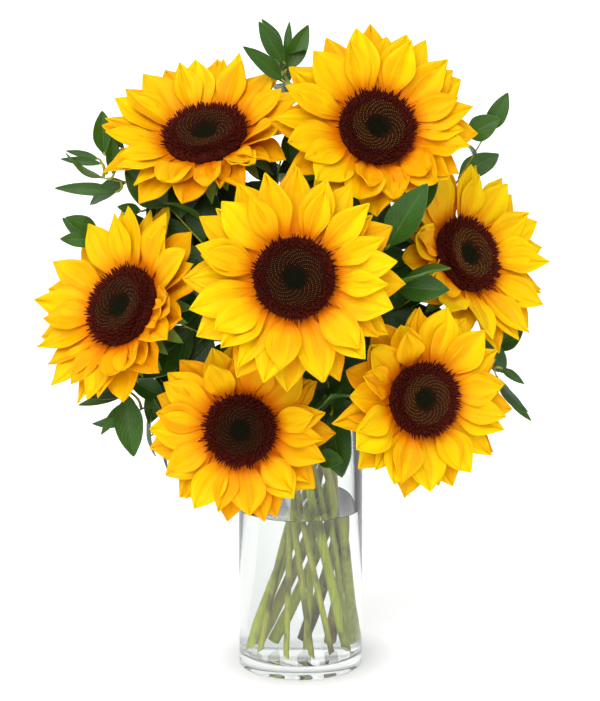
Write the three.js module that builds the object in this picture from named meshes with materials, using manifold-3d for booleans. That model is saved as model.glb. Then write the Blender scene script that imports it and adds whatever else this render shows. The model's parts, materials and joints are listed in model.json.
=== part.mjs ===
// Seven cut sunflowers and six leafy sprigs standing in water in a clear glass cylinder vase.
// Millimetres, +Z up. The origin is the centre of the vase's flat base; the bouquet faces -Y.
import * as THREE from "three";
import { mergeVertices } from "three/addons/utils/BufferGeometryUtils.js";
import Module from "manifold-3d";

const wasm = await Module();
wasm.setup();

// ---------- driving dimensions ----------
const GAP = 0.3; // clearance between touching pieces
const VASE = { radius: 44.5, height: 203, wall: 3, floor: 10, soften: 1.5, cove: 3, sides: 28 };
const WATER_LEVEL = 117;
const CUT = { lift: 4, tilt: 40, spare: 8 }; // slanting cut ends stand just above the vase's floor
const WAIST_HEIGHT = 140; // where the stems gather
const STEM = { sides: 6, steps: 10, sprigSteps: 5 };

const RING = { inset: 9, proud: 0.8, top: -0.7, bottom: -4.0 }; // carries the petals
const PETAL = { thickness: 0.8, width: 18.5, root: 3, fold: 1, roll: 4, sway: 3, curl: -6, curlSway: 10 };
const ROWS = [{ height: -1.6, lean: 5, share: 0.94 }, { height: -3, lean: -8, share: 1 }]; // front, back
const BRACT = { count: 8, length: 24, width: 10, thickness: 0.9, fold: 0.8, root: 4, lift: -30, curl: -16 };
const CUP = { neck: -20, flare: -10, shoulder: -4.3, bracts: -7 }; // green back of a flower head
const DISC = { sides: 12, dome: 7.5, dimple: 3, relief: 0.9, fringe: 1.6, base: -0.4 };
const LEAF_TRIES = [ // turn, share of the size
  [0, 1], [40, 1], [-40, 1], [80, 0.9], [-80, 0.9], [0, 0.7], [120, 0.7], [-120, 0.7], [180, 0.7], [60, 0.5],
];
const LEAF = { root: 0.9, thickness: 0.8, fold: 1.6, curl: -28, lean: 48, spare: 0.7 };
const TWIG = { radius: 1.4, sides: 3, steps: 6, start: 0.97 }; // starts inside the stem it forks from

// place: centre of the disc; az, el: the way the head faces in degrees, az 0 towards -Y; disc, head: radii;
// cup: how far the petals lean forward; sag: lean lost by the low petals; stem: points above the waist
const SUNFLOWERS = {
  center: {
    place: [-4, -118, 301], az: 2, el: 15, disc: 27.5, head: 73, petals: 12, cup: 13, sag: 3, turn: 5,
    stalk: 3, foot: [1, 26], waist: [24, 0], stem: [[9, -20, 207], [-1, -57, 264]],
  },
  top_left: {
    place: [-65, -20, 384], az: -14, el: 57, disc: 29.5, head: 74.5, petals: 12, cup: 27, sag: 20, turn: 11,
    stalk: 3, foot: [27, -8], waist: [5, -16], stem: [[-7, -5, 211], [-37, 10, 301]],
  },
  top_right: {
    place: [51, -52, 392], az: 12, el: 25, disc: 26.5, head: 72, petals: 12, cup: 15, sag: -9, turn: 3,
    stalk: 3, foot: [-20, 15], waist: [16, 11], stem: [[22, 11, 215], [41, 20, 300]],
  },
  right: {
    place: [114, -21, 301], az: 42, el: 25, disc: 27, head: 72, petals: 12, cup: 18, sag: 2, turn: 8,
    stalk: 3, foot: [-27, 1], waist: [11, 19], stem: [[32, 12, 209], [62, 0, 264]],
  },
  left: {
    place: [-120, -55, 271], az: -43, el: 28, disc: 29, head: 75, petals: 12, cup: 18, sag: 2, turn: 2,
    stalk: 3, foot: [25, 16], waist: [20, -16], stem: [[-15, -16, 206], [-56, -10, 242]],
  },
  low_left: {
    place: [-40, -92, 194], az: -6, el: 8, disc: 24.5, head: 63, petals: 11, cup: 11, sag: 0, turn: 7,
    stalk: 2.8, foot: [13, 22], waist: [24, -8], stem: [[-2, -30, 211], [-20, -45, 214]],
  },
  low_right: {
    place: [81, -96, 216], az: 23, el: 8, disc: 25, head: 65, petals: 11, cup: 12, sag: 0, turn: 0,
    stalk: 2.8, foot: [-12, 23], waist: [24, 7], stem: [[32, -12, 209], [51, -31, 223]],
  },
};

// the stem runs from the foot over the waist to the fork; each twig runs on from there, bare at first;
// aspect: width of a leaf as a share of its length
const SPRIGS = {
  top: {
    aspect: 0.44, stalk: 1.9, foot: [7, -25], waist: [-6, -4], fork: [-3, 16, 232],
    twigs: [
      {
        path: [[-10, 26, 310], [-6, 38, 396], [-14, 34, 434]],
        leaves: 9, bare: 0.45, length: 37, turn: 30,
      },
    ],
  },
  left_side: {
    aspect: 0.44, stalk: 1.9, foot: [19, -17], waist: [-4, -11], fork: [-16, 10, 228],
    twigs: [
      {
        path: [[-58, 20, 291], [-100, 14, 340], [-138, 6, 352]],
        leaves: 8, bare: 0.3, length: 36, turn: 80,
      },
      {
        path: [[-52, 22, 262], [-100, 12, 298], [-140, 2, 310]],
        leaves: 7, bare: 0.4, length: 34, turn: 10,
      },
      {
        path: [[-60, 26, 300], [-104, 22, 352], [-124, 14, 372]],
        leaves: 5, bare: 0.6, length: 32, turn: 40,
      },
    ],
  },
  low_left_side: {
    aspect: 0.44, stalk: 1.9, foot: [25, 1], waist: [11, -11], fork: [-25, -1, 211],
    twigs: [
      {
        path: [[-54, -16, 212], [-86, -26, 206], [-118, -38, 192]],
        leaves: 7, bare: 0.25, length: 36, turn: 0,
      },
      {
        path: [[-54, -20, 204], [-82, -34, 190], [-104, -42, 178]],
        leaves: 5, bare: 0.5, length: 32, turn: 60,
      },
    ],
  },
  right_side: {
    aspect: 0.44, stalk: 1.9, foot: [-24, -11], waist: [3, 14], fork: [30, 22, 222],
    twigs: [
      {
        path: [[70, 28, 290], [108, 24, 343], [130, 7, 384]],
        leaves: 8, bare: 0.25, length: 38, turn: 40,
      },
      {
        path: [[82, 10, 238], [124, -14, 244], [136, -34, 218]],
        leaves: 8, bare: 0.25, length: 36, turn: 20,
      },
    ],
  },
  back: {
    aspect: 0.44, stalk: 1.9, foot: [-9, -24], waist: [-5, 5], fork: [-6, 30, 226],
    twigs: [
      {
        path: [[-34, 58, 280], [-52, 66, 330], [-62, 50, 366]],
        leaves: 5, bare: 0.15, length: 38, turn: 60,
      },
      {
        path: [[26, 62, 284], [48, 66, 330], [58, 48, 370]],
        leaves: 5, bare: 0.15, length: 38, turn: 15,
      },
    ],
  },
  middle: {
    aspect: 0.6, stalk: 1.9, foot: [3, 2], waist: [8, 0], fork: [8, -4, 230],
    twigs: [
      {
        path: [[30, -36, 266], [52, -62, 304], [57, -68, 316]],
        leaves: 4, bare: 0.55, length: 56, turn: 60,
      },
      {
        path: [[34, -46, 252], [52, -70, 276], [60, -76, 285]],
        leaves: 4, bare: 0.5, length: 52, turn: 30,
      },
      {
        path: [[-24, -24, 272], [-50, -34, 306], [-66, -40, 326]],
        leaves: 4, bare: 0.35, length: 54, turn: 20,
      },
      {
        path: [[-26, -18, 246], [-54, -34, 262], [-74, -50, 272]],
        leaves: 3, bare: 0.45, length: 50, turn: 20,
      },
      {
        path: [[16, -26, 226], [18, -46, 214], [20, -60, 212]],
        leaves: 3, bare: 0.4, length: 50, turn: 70,
      },
    ],
  },
};

// ---------- small helpers ----------
const rad = THREE.MathUtils.degToRad;
const point = ([x, y, z]) => new THREE.Vector3(x, y, z);
const innerRadius = VASE.radius - VASE.wall;

// repeatable spread of small differences, from -1 to 1
function sway(seed) {
  return () => {
    seed = (seed * 16807) % 2147483647;
    return (seed / 2147483647) * 2 - 1;
  };
}

function toSolid(geometry) {
  geometry.deleteAttribute("normal");
  geometry.deleteAttribute("uv");
  const merged = mergeVertices(geometry, 1e-4);
  return new wasm.Manifold(new wasm.Mesh({
    numProp: 3,
    vertProperties: new Float32Array(merged.attributes.position.array),
    triVerts: new Uint32Array(merged.index.array),
  }));
}

function toGeometry(solid) {
  const { vertProperties, triVerts } = solid.getMesh();
  const geometry = new THREE.BufferGeometry();
  geometry.setAttribute("position", new THREE.BufferAttribute(vertProperties, 3));
  geometry.setIndex(new THREE.BufferAttribute(triVerts, 1));
  const faceted = geometry.toNonIndexed();
  faceted.computeVertexNormals();
  return faceted;
}

const fuse = (solids) => solids.reduce((whole, next) => whole.add(next));

// a turned form about Z: the profile lists [radius, height] from the axis round the outside to the axis
function turned(profile, sides) {
  const points = profile.map(([r, z]) => new THREE.Vector2(r, z));
  return new THREE.LatheGeometry(points, sides).rotateX(Math.PI / 2);
}

// a round stem of even thickness along a curve
function stemAlong(curve, radius, sides, steps) {
  const section = new THREE.Shape();
  for (let i = 0; i < sides; i += 1) {
    const angle = (2 * Math.PI * i) / sides;
    const [x, y] = [radius * Math.cos(angle), radius * Math.sin(angle)];
    if (i === 0) section.moveTo(x, y);
    else section.lineTo(x, y);
  }
  section.closePath();
  return new THREE.ExtrudeGeometry(section, { steps, extrudePath: curve, bevelEnabled: false });
}

// ---------- blades: petals, bracts and leaves ----------
// frame: columns are the way the blade points, across it, and out of its upper face
function bladeFrame(root, along, up) {
  const across = new THREE.Vector3().crossVectors(up, along).normalize();
  const face = new THREE.Vector3().crossVectors(along, across).normalize();
  return new THREE.Matrix4().makeBasis(along, across, face).setPosition(root);
}

// outline: [share of the length, half width, how far the edges stand above the midrib], the root first;
// a blade with seat corners grows out of those four points, and its root is left open there
function bladeTriangles({ length, outline, thickness, curl, seat }, frame) {
  const bend = rad(curl) / length;
  const place = (s, v, w) => {
    const turn = bend * s;
    const x = Math.abs(turn) < 1e-6 ? s : Math.sin(turn) / bend;
    const z = Math.abs(turn) < 1e-6 ? 0 : (1 - Math.cos(turn)) / bend;
    return new THREE.Vector3(x - Math.sin(turn) * w, v, z + Math.cos(turn) * w).applyMatrix4(frame);
  };
  const [root, ...middle] = outline;
  const flat = [[root[0], root[1], 0], [root[0], -root[1], 0]];
  for (const [share, half, fold] of middle) {
    flat.push([share, half, fold], [share, 0, 0], [share, -half, fold]);
  }
  flat.push([1, 0, 0]);
  const tip = flat.length - 1;
  const faces = [[0, 1, 3], [0, 3, 2], [1, 4, 3]];
  const rightEdge = [1];
  const leftEdge = [0];
  for (let left = 2; left < tip; left += 3) {
    const [mid, right] = [left + 1, left + 2];
    rightEdge.push(right);
    leftEdge.unshift(left);
    if (right + 1 === tip) {
      faces.push([left, mid, tip], [mid, right, tip]);
    } else {
      faces.push([left, mid, mid + 3], [left, mid + 3, left + 3]);
      faces.push([mid, right, right + 3], [mid, right + 3, mid + 3]);
    }
  }
  const rim = [...rightEdge, tip, ...leftEdge];
  const side = (w) => flat.map(([share, v, lift]) => place(share * length, v, lift + w));
  const upper = side(thickness / 2);
  const under = side(-thickness / 2);
  if (seat) {
    [upper[0], upper[1], under[0], under[1]] = seat;
  } else {
    rim.push(1);
  }
  const corners = [];
  for (const [p, q, r] of faces) corners.push(upper[p], upper[q], upper[r], under[p], under[r], under[q]);
  for (let i = 0; i < rim.length - 1; i += 1) {
    const [p, q] = [rim[i], rim[i + 1]];
    corners.push(under[p], under[q], upper[q], under[p], upper[q], upper[p]);
  }
  return corners;
}

function solidOf(corners) {
  const geometry = new THREE.BufferGeometry();
  geometry.setFromPoints(corners);
  return toSolid(geometry);
}

const blade = (shape, frame) => solidOf(bladeTriangles(shape, frame));

// bands between rings of points, each ring listed once round, with fans to `first` and `last` where given
function bands(rings, skip = []) {
  const corners = [];
  for (let k = 0; k < rings.length - 1; k += 1) {
    if (skip.includes(k)) continue;
    rings[k].forEach((p, i) => {
      const next = (i + 1) % rings[k].length;
      const [q, r, s] = [rings[k][next], rings[k + 1][next], rings[k + 1][i]];
      corners.push(p, q, r, p, r, s);
    });
  }
  return corners;
}

const circle = (radius, height, count, start) => Array.from({ length: count }, (_, i) => {
  const angle = start + (2 * Math.PI * i) / count;
  return new THREE.Vector3(radius * Math.cos(angle), radius * Math.sin(angle), height);
});

// ---------- flower heads, built facing +Z with the disc's centre at the origin ----------
function petalFrame(angle, radius, height, lean, roll) {
  const outward = new THREE.Vector3(Math.cos(angle), Math.sin(angle), 0);
  const along = outward.clone().multiplyScalar(Math.cos(lean)).setZ(Math.sin(lean));
  const up = outward.clone().multiplyScalar(-Math.sin(lean)).setZ(Math.cos(lean));
  const root = outward.clone().multiplyScalar(radius).setZ(height);
  return bladeFrame(root, along, up.applyAxisAngle(along, roll));
}

// each petal grows out of one flat of the ring
function petalRing(flower, seed) {
  const vary = sway(seed);
  const inner = flower.disc - RING.inset;
  const outer = flower.disc + RING.proud;
  const count = 2 * flower.petals;
  const start = rad(flower.turn);
  const ring = (radius, height) => circle(radius, height, count, start);
  const [under, over] = [ring(outer, RING.bottom), ring(outer, RING.top)];
  const corners = bands([under, over, ring(inner, RING.top), ring(inner, RING.bottom), under], [0]);
  for (let i = 0; i < count; i += 1) {
    const next = (i + 1) % count;
    const row = ROWS[i % 2];
    const angle = start + (2 * Math.PI * (i + 0.5)) / count + rad(PETAL.sway * vary());
    const low = Math.max(0, -Math.sin(angle));
    const lean = rad(flower.cup - flower.sag * low + row.lean + 2 * vary());
    const half = (PETAL.width / 2) * (1 + 0.1 * vary());
    const petal = {
      length: (flower.head - outer) * row.share * (1 + 0.06 * vary()),
      thickness: PETAL.thickness,
      curl: PETAL.curl + PETAL.curlSway * vary(),
      outline: [[0, PETAL.root, 0], [0.36, half * 0.86, PETAL.fold], [0.7, half, PETAL.fold]],
      seat: [over[next], over[i], under[next], under[i]],
    };
    const frame = petalFrame(angle, outer, row.height, lean, rad(PETAL.roll * vary()));
    corners.push(...bladeTriangles(petal, frame));
  }
  return solidOf(corners);
}

function seedDisc(flower) {
  const R = flower.disc;
  const { base, dome, dimple, relief, fringe, sides } = DISC;
  const geometry = turned([
    [0, base], [R - 4, base], [R - 0.5, base + 2.6], [R + fringe, dome * 0.55], [R * 0.93, dome * 0.85],
    [R * 0.72, dome], [R * 0.5, dome * 0.92], [R * 0.28, dome - dimple], [0, dome - dimple],
  ], sides);
  const at = geometry.attributes.position;
  for (let i = 0; i < at.count; i += 1) {
    const r = Math.hypot(at.getX(i), at.getY(i));
    if (at.getZ(i) < dome * 0.5 || r < 1) continue;
    const angle = Math.atan2(at.getY(i), at.getX(i));
    const ring = Math.round((r / R) * 5);
    at.setZ(i, at.getZ(i) + relief * Math.cos((sides / 2) * angle + Math.PI * ring));
  }
  return toSolid(geometry);
}

// each bract grows out of one flat of the cup's rim
function greenCup(flower) {
  const R = flower.disc;
  const flats = Math.cos(Math.PI / (2 * flower.petals)); // the ring's flats lie inside its corners
  const boss = (R - RING.inset) * flats - GAP;
  const ring = (radius, height) => circle(radius, height, BRACT.count, 0);
  const [flare, shoulder] = [ring(R - 3, CUP.flare), ring(R - 1, CUP.shoulder)];
  const corners = bands([
    ring(0, CUP.neck), ring(flower.stalk + 1.5, CUP.neck), flare, shoulder,
    ring(boss, CUP.shoulder), ring(boss, RING.top), ring(0, RING.top),
  ], [2]);
  for (let i = 0; i < BRACT.count; i += 1) {
    const next = (i + 1) % BRACT.count;
    const angle = (2 * Math.PI * (i + 0.5)) / BRACT.count;
    const bract = {
      length: BRACT.length,
      thickness: BRACT.thickness,
      curl: BRACT.curl,
      outline: [[0, BRACT.root, 0], [0.4, BRACT.width / 2, BRACT.fold]],
      seat: [shoulder[next], shoulder[i], flare[next], flare[i]],
    };
    corners.push(...bladeTriangles(bract, petalFrame(angle, R - 1, CUP.bracts, rad(BRACT.lift), 0)));
  }
  return solidOf(corners);
}

function headFrame({ place, az, el }) {
  const [a, e] = [rad(az), rad(el)];
  const level = new THREE.Vector3(Math.sin(a), -Math.cos(a), 0);
  const facing = level.multiplyScalar(Math.cos(e)).setZ(Math.sin(e));
  const right = new THREE.Vector3(Math.cos(a), Math.sin(a), 0);
  const top = new THREE.Vector3().crossVectors(facing, right);
  return new THREE.Matrix4().makeBasis(right, top, facing).setPosition(point(place));
}

const moved = (solid, matrix) => solid.transform(matrix.toArray());

// ---------- stems ----------
function stemCurve({ foot, waist }, upper) {
  const start = point([...foot, VASE.floor + GAP + CUT.lift]);
  const gather = point([...waist, WAIST_HEIGHT]);
  const below = start.clone().addScaledVector(gather.clone().sub(start).normalize(), -CUT.spare);
  return new THREE.CatmullRomCurve3([below, start, gather, ...upper]);
}

// cut off on a slant just above the vase's floor
function slantCut(solid, foot, turn) {
  const tilt = rad(CUT.tilt);
  const side = new THREE.Vector3(Math.cos(turn), Math.sin(turn), 0);
  const normal = side.multiplyScalar(Math.sin(tilt)).setZ(Math.cos(tilt));
  const at = point([...foot, VASE.floor + GAP + CUT.lift]);
  return solid.trimByPlane(normal.toArray(), normal.dot(at));
}

function flowerStem(flower) {
  const frame = headFrame(flower);
  const behind = (distance) => new THREE.Vector3(0, 0, -distance).applyMatrix4(frame);
  return stemCurve(flower, [...flower.stem.map(point), behind(40), behind(12)]);
}

const sprigStem = (sprig) => stemCurve(sprig, [point(sprig.fork)]);

// ---------- leafy twigs ----------
function leafAt(curve, t, angle, length, aspect, spare) {
  const along = curve.getTangent(t);
  const level = new THREE.Vector3(0, 0, 1).cross(along).normalize();
  const out = level.applyAxisAngle(along, angle);
  const lean = t > 0.999 ? rad(6) : rad(LEAF.lean);
  const way = along.clone().multiplyScalar(Math.cos(lean)).addScaledVector(out, Math.sin(lean));
  const up = along.clone().multiplyScalar(Math.sin(lean)).addScaledVector(out, -Math.cos(lean));
  const half = (length * aspect) / 2 + spare;
  const shape = {
    length: length + spare,
    thickness: LEAF.thickness + 2 * spare,
    curl: LEAF.curl,
    outline: [[0, LEAF.root + spare, 0], [0.36, half, LEAF.fold], [0.7, half * 0.78, LEAF.fold * 0.8]],
  };
  return blade(shape, bladeFrame(curve.getPoint(t), way, up));
}

const boxesMeet = (a, b) => [0, 1, 2].every((i) => a.min[i] <= b.max[i] && b.min[i] <= a.max[i]);

function isClear(solid, others) {
  const box = solid.boundingBox();
  return others.every((other) => !boxesMeet(box, other.boundingBox()) || solid.intersect(other).isEmpty());
}

// a leaf turns about its twig, then grows shorter, until it touches no other piece, or is left off
function leafyTwig(curve, twig, aspect, others, leaves, seed) {
  const vary = sway(seed);
  for (let i = 0; i < twig.leaves; i += 1) {
    const t = twig.bare + ((1 - twig.bare) * i) / (twig.leaves - 1);
    const angle = rad(twig.turn + 180 * i + 24 * i + 15 * vary());
    const size = twig.length * (1 + 0.12 * vary()) * (i === twig.leaves - 1 ? 0.85 : 1);
    const clear = LEAF_TRIES.find(([turn, share]) => {
      const roomy = leafAt(curve, t, angle + rad(turn), size * share, aspect, LEAF.spare);
      return isClear(roomy, [...others, ...leaves]);
    });
    if (clear) leaves.push(leafAt(curve, t, angle + rad(clear[0]), size * clear[1], aspect, 0));
  }
}

// ---------- the vase and its water ----------
function glassVase() {
  const { radius: R, height: H, floor, soften, cove } = VASE;
  return turned([
    [0, 0], [R - 2, 0], [R, 2], [R, H - soften], [R - soften / 2, H], [innerRadius + soften / 2, H],
    [innerRadius, H - soften], [innerRadius, floor + cove], [innerRadius - cove, floor], [0, floor],
  ], VASE.sides);
}

function water(holes) {
  const bottom = VASE.floor + GAP;
  const side = innerRadius - GAP;
  const body = turned([
    [0, bottom], [side - VASE.cove, bottom], [side, bottom + VASE.cove],
    [side, WATER_LEVEL], [0, WATER_LEVEL],
  ], VASE.sides);
  return holes.reduce((left, hole) => left.subtract(hole), toSolid(body));
}

// ---------- assembly ----------
const COLOURS = {
  glass: { color: 0xdfe8e4, roughness: 0.05, transparent: true, opacity: 0.35 },
  water: { color: 0xe6eeee, roughness: 0.02, transparent: true, opacity: 0.3 },
  petal: { color: 0xffc40d, roughness: 0.6 },
  disc: { color: 0x3a160c, roughness: 0.9 },
  stem: { color: 0x7f9a3c, roughness: 0.6 },
  leaf: { color: 0x2f5a1e, roughness: 0.4 },
};
const bouquet = new THREE.Group();

function addPiece(name, geometry, finish) {
  const material = new THREE.MeshStandardMaterial({ metalness: 0, ...COLOURS[finish] });
  const mesh = new THREE.Mesh(geometry, material);
  mesh.name = name;
  bouquet.add(mesh);
}

const placed = []; // solids that no leaf may touch
const holes = [];
Object.entries(SUNFLOWERS).forEach(([name, flower], i) => {
  const frame = headFrame(flower);
  const petals = moved(petalRing(flower, 101 + i), frame);
  const disc = moved(seedDisc(flower), frame);
  const curve = flowerStem(flower);
  const stalk = toSolid(stemAlong(curve, flower.stalk, STEM.sides, STEM.steps));
  const stem = slantCut(stalk, flower.foot, i).add(moved(greenCup(flower), frame));
  holes.push(toSolid(stemAlong(curve, flower.stalk + GAP, STEM.sides, STEM.steps)));
  placed.push(petals, disc, stem);
  addPiece(`petals_${name}`, toGeometry(petals), "petal");
  addPiece(`disc_${name}`, toGeometry(disc), "disc");
  addPiece(`stem_${name}`, toGeometry(stem), "stem");
});

const vase = toSolid(glassVase());
placed.push(vase);
addPiece("vase", toGeometry(vase), "glass");

const frames = Object.entries(SPRIGS).map(([name, sprig], i) => {
  const curve = sprigStem(sprig);
  holes.push(toSolid(stemAlong(curve, sprig.stalk + GAP, STEM.sides, STEM.sprigSteps)));
  const uncut = toSolid(stemAlong(curve, sprig.stalk, STEM.sides, STEM.sprigSteps));
  const stalk = slantCut(uncut, sprig.foot, 3 * i);
  const start = [curve.getPoint(TWIG.start), point(sprig.fork)];
  const curves = sprig.twigs.map(({ path }) => new THREE.CatmullRomCurve3([...start, ...path.map(point)]));
  const twigs = curves.map((line) => toSolid(stemAlong(line, TWIG.radius, TWIG.sides, TWIG.steps)));
  const wood = fuse([stalk, ...twigs]);
  return { name, sprig, curves, wood, seed: 301 + 10 * i };
});
const grown = frames.map(({ wood }) => wood);
frames.forEach(({ sprig, curves, wood, seed }, i) => {
  const others = [...placed, ...grown.filter((_, k) => k !== i)];
  const leaves = [];
  curves.forEach((curve, k) => leafyTwig(curve, sprig.twigs[k], sprig.aspect, others, leaves, seed + k));
  grown[i] = fuse([wood, ...leaves]);
});
frames.forEach(({ name }, i) => addPiece(`sprig_${name}`, toGeometry(grown[i]), "leaf"));

addPiece("water", toGeometry(water(holes)), "water");

export default bouquet;
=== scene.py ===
"""Seven sunflowers and their leafy sprigs in a straight glass vase of water, dressed on the frame."""

import json
from math import cos, exp, pi, radians, sin, sqrt

import bmesh
import bpy
import numpy as np
from bpy.props import FloatProperty, FloatVectorProperty, IntProperty, PointerProperty
from mathutils import Matrix, Vector, kdtree
from mathutils.bvhtree import BVHTree

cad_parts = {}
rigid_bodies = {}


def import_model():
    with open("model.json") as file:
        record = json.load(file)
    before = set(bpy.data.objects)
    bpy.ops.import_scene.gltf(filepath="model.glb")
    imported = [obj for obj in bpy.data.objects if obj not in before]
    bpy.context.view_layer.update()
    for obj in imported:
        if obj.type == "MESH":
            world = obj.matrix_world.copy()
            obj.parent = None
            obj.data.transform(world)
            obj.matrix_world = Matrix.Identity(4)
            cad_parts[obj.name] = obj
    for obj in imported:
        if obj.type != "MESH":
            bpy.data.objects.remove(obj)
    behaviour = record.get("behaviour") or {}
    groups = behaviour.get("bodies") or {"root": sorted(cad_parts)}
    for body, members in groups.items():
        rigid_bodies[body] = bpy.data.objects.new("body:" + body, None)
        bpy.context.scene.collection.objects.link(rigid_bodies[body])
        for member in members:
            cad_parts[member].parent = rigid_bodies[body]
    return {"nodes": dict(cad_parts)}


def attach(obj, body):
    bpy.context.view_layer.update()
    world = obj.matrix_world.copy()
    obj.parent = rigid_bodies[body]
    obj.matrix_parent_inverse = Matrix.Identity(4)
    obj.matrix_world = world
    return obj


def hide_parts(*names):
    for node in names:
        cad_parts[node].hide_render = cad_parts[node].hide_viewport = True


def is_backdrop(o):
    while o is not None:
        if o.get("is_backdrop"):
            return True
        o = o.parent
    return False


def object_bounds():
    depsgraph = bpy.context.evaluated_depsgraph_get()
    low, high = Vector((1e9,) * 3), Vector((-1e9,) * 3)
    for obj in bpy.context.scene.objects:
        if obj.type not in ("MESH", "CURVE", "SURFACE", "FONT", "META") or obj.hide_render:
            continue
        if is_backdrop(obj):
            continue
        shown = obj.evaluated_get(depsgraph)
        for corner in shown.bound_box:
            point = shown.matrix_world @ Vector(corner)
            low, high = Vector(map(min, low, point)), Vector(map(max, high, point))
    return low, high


bl_info = {
    "name": "Sunflowers in a Vase",
    "version": (1, 0, 0),
    "blender": (4, 5, 0),
    "location": "View3D > Sidebar > Sunflowers",
    "description": "Petals, seed discs, stems, leafy sprigs, glass vase and water of a bouquet",
    "category": "Object",
}

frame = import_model()
CAD_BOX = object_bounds()
BODY = "root"
GOLDEN_ANGLE = pi * (3 - sqrt(5))
UP = Vector((0, 0, 1))


def mm(value):
    """Metres from millimetres: a number, a point or a list of points."""
    return tuple(map(mm, value)) if isinstance(value, (tuple, list)) else value / 1000


def sunflower(petals=12, stalk=3, **row):
    """A flower, its lengths given in millimetres and its angles in degrees."""
    row.update(petals=petals, stalk=stalk)
    lengths = ("place", "disc", "head", "stalk", "foot", "waist", "stem")
    return {key: mm(value) if key in lengths else value for key, value in row.items()}


def twig(*path, leaves, bare, length, turn=0, deep=0):
    """A twig through three places, its first share bare; turn: how far its leaves are turned about
    it; the last: how much painted shade darkens its leaves, which lie deep inside the bouquet."""
    return {
        "path": mm(path), "leaves": leaves, "bare": bare, "length": mm(length), "turn": turn, "deep": deep,
    }


def sprig(foot, waist, fork, twigs, large=(), shoots=(), aspect=0.44):
    """A stem from the foot over the waist to the fork, and the twigs that run on from there.

    aspect: width of a leaf as a share of its length. Shoots are further twigs, as flat sprays of
    leaves that fill the inside of the bouquet. Large leaves stand on stalks of their own: root, tip
    and half width."""
    return {
        "foot": mm(foot), "waist": mm(waist), "fork": mm(fork), "twigs": twigs, "large": mm(large),
        "shoots": shoots, "aspect": aspect,
    }


# place: centre of the disc; az, el: the way the head faces, az 0 towards -Y; disc, head: radii;
# cup: how far the petals lean forward; sag: lean lost by the low petals; crumple: the side of the
# head, as an angle from its right, whose petals are folded and curled, and fold: how much; warm: how
# orange the petals are; ripe: how brown the disc is; brown: how far the stem has gone from green to brown
SUNFLOWERS = {
    "center": sunflower(
        place=(-4, -118, 301), az=2, el=15, disc=27.5, head=73, cup=13, sag=3, turn=5,
        crumple=-80, fold=0, warm=0.12, ripe=0.55, brown=0.55,
        foot=(1, 26), waist=(24, 0), stem=[(9, -20, 207), (-1, -57, 264)],
    ),
    "top_left": sunflower(
        place=(-65, -20, 384), az=-14, el=57, disc=29.5, head=74.5, cup=27, sag=20, turn=11,
        crumple=-60, fold=0.8, warm=0.25, ripe=0.35, brown=0.05,
        foot=(27, -8), waist=(5, -16), stem=[(-7, -5, 211), (-37, 10, 301)],
    ),
    "top_right": sunflower(
        place=(51, -52, 392), az=12, el=25, disc=26.5, head=72, cup=15, sag=-9, turn=3,
        crumple=-62, fold=1, warm=0.18, ripe=0.9, brown=0.9,
        foot=(-20, 15), waist=(16, 11), stem=[(22, 11, 215), (41, 20, 300)],
    ),
    "right": sunflower(
        place=(114, -21, 301), az=42, el=25, disc=27, head=72, cup=18, sag=2, turn=8,
        crumple=190, fold=1, warm=0.1, ripe=1, brown=0,
        foot=(-27, 1), waist=(11, 19), stem=[(32, 12, 209), (62, 0, 264)],
    ),
    "left": sunflower(
        place=(-120, -55, 271), az=-43, el=28, disc=29, head=75, cup=18, sag=2, turn=2,
        crumple=-15, fold=1, warm=0.32, ripe=0.3, brown=0.35,
        foot=(25, 16), waist=(20, -16), stem=[(-15, -16, 206), (-56, -10, 242)],
    ),
    "low_left": sunflower(
        place=(-40, -92, 194), az=-6, el=8, disc=24.5, head=63, petals=11, cup=11, sag=0, turn=7,
        crumple=90, fold=0.3, warm=0.5, ripe=0.1, brown=1,
        stalk=2.8, foot=(13, 22), waist=(24, -8), stem=[(-2, -30, 211), (-20, -45, 214)],
    ),
    "low_right": sunflower(
        place=(81, -96, 216), az=23, el=8, disc=25, head=65, petals=11, cup=12, sag=0, turn=0,
        crumple=130, fold=0.5, warm=0.3, ripe=0.8, brown=0.1,
        stalk=2.8, foot=(-12, 23), waist=(24, 7), stem=[(32, -12, 209), (51, -31, 223)],
    ),
}

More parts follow.
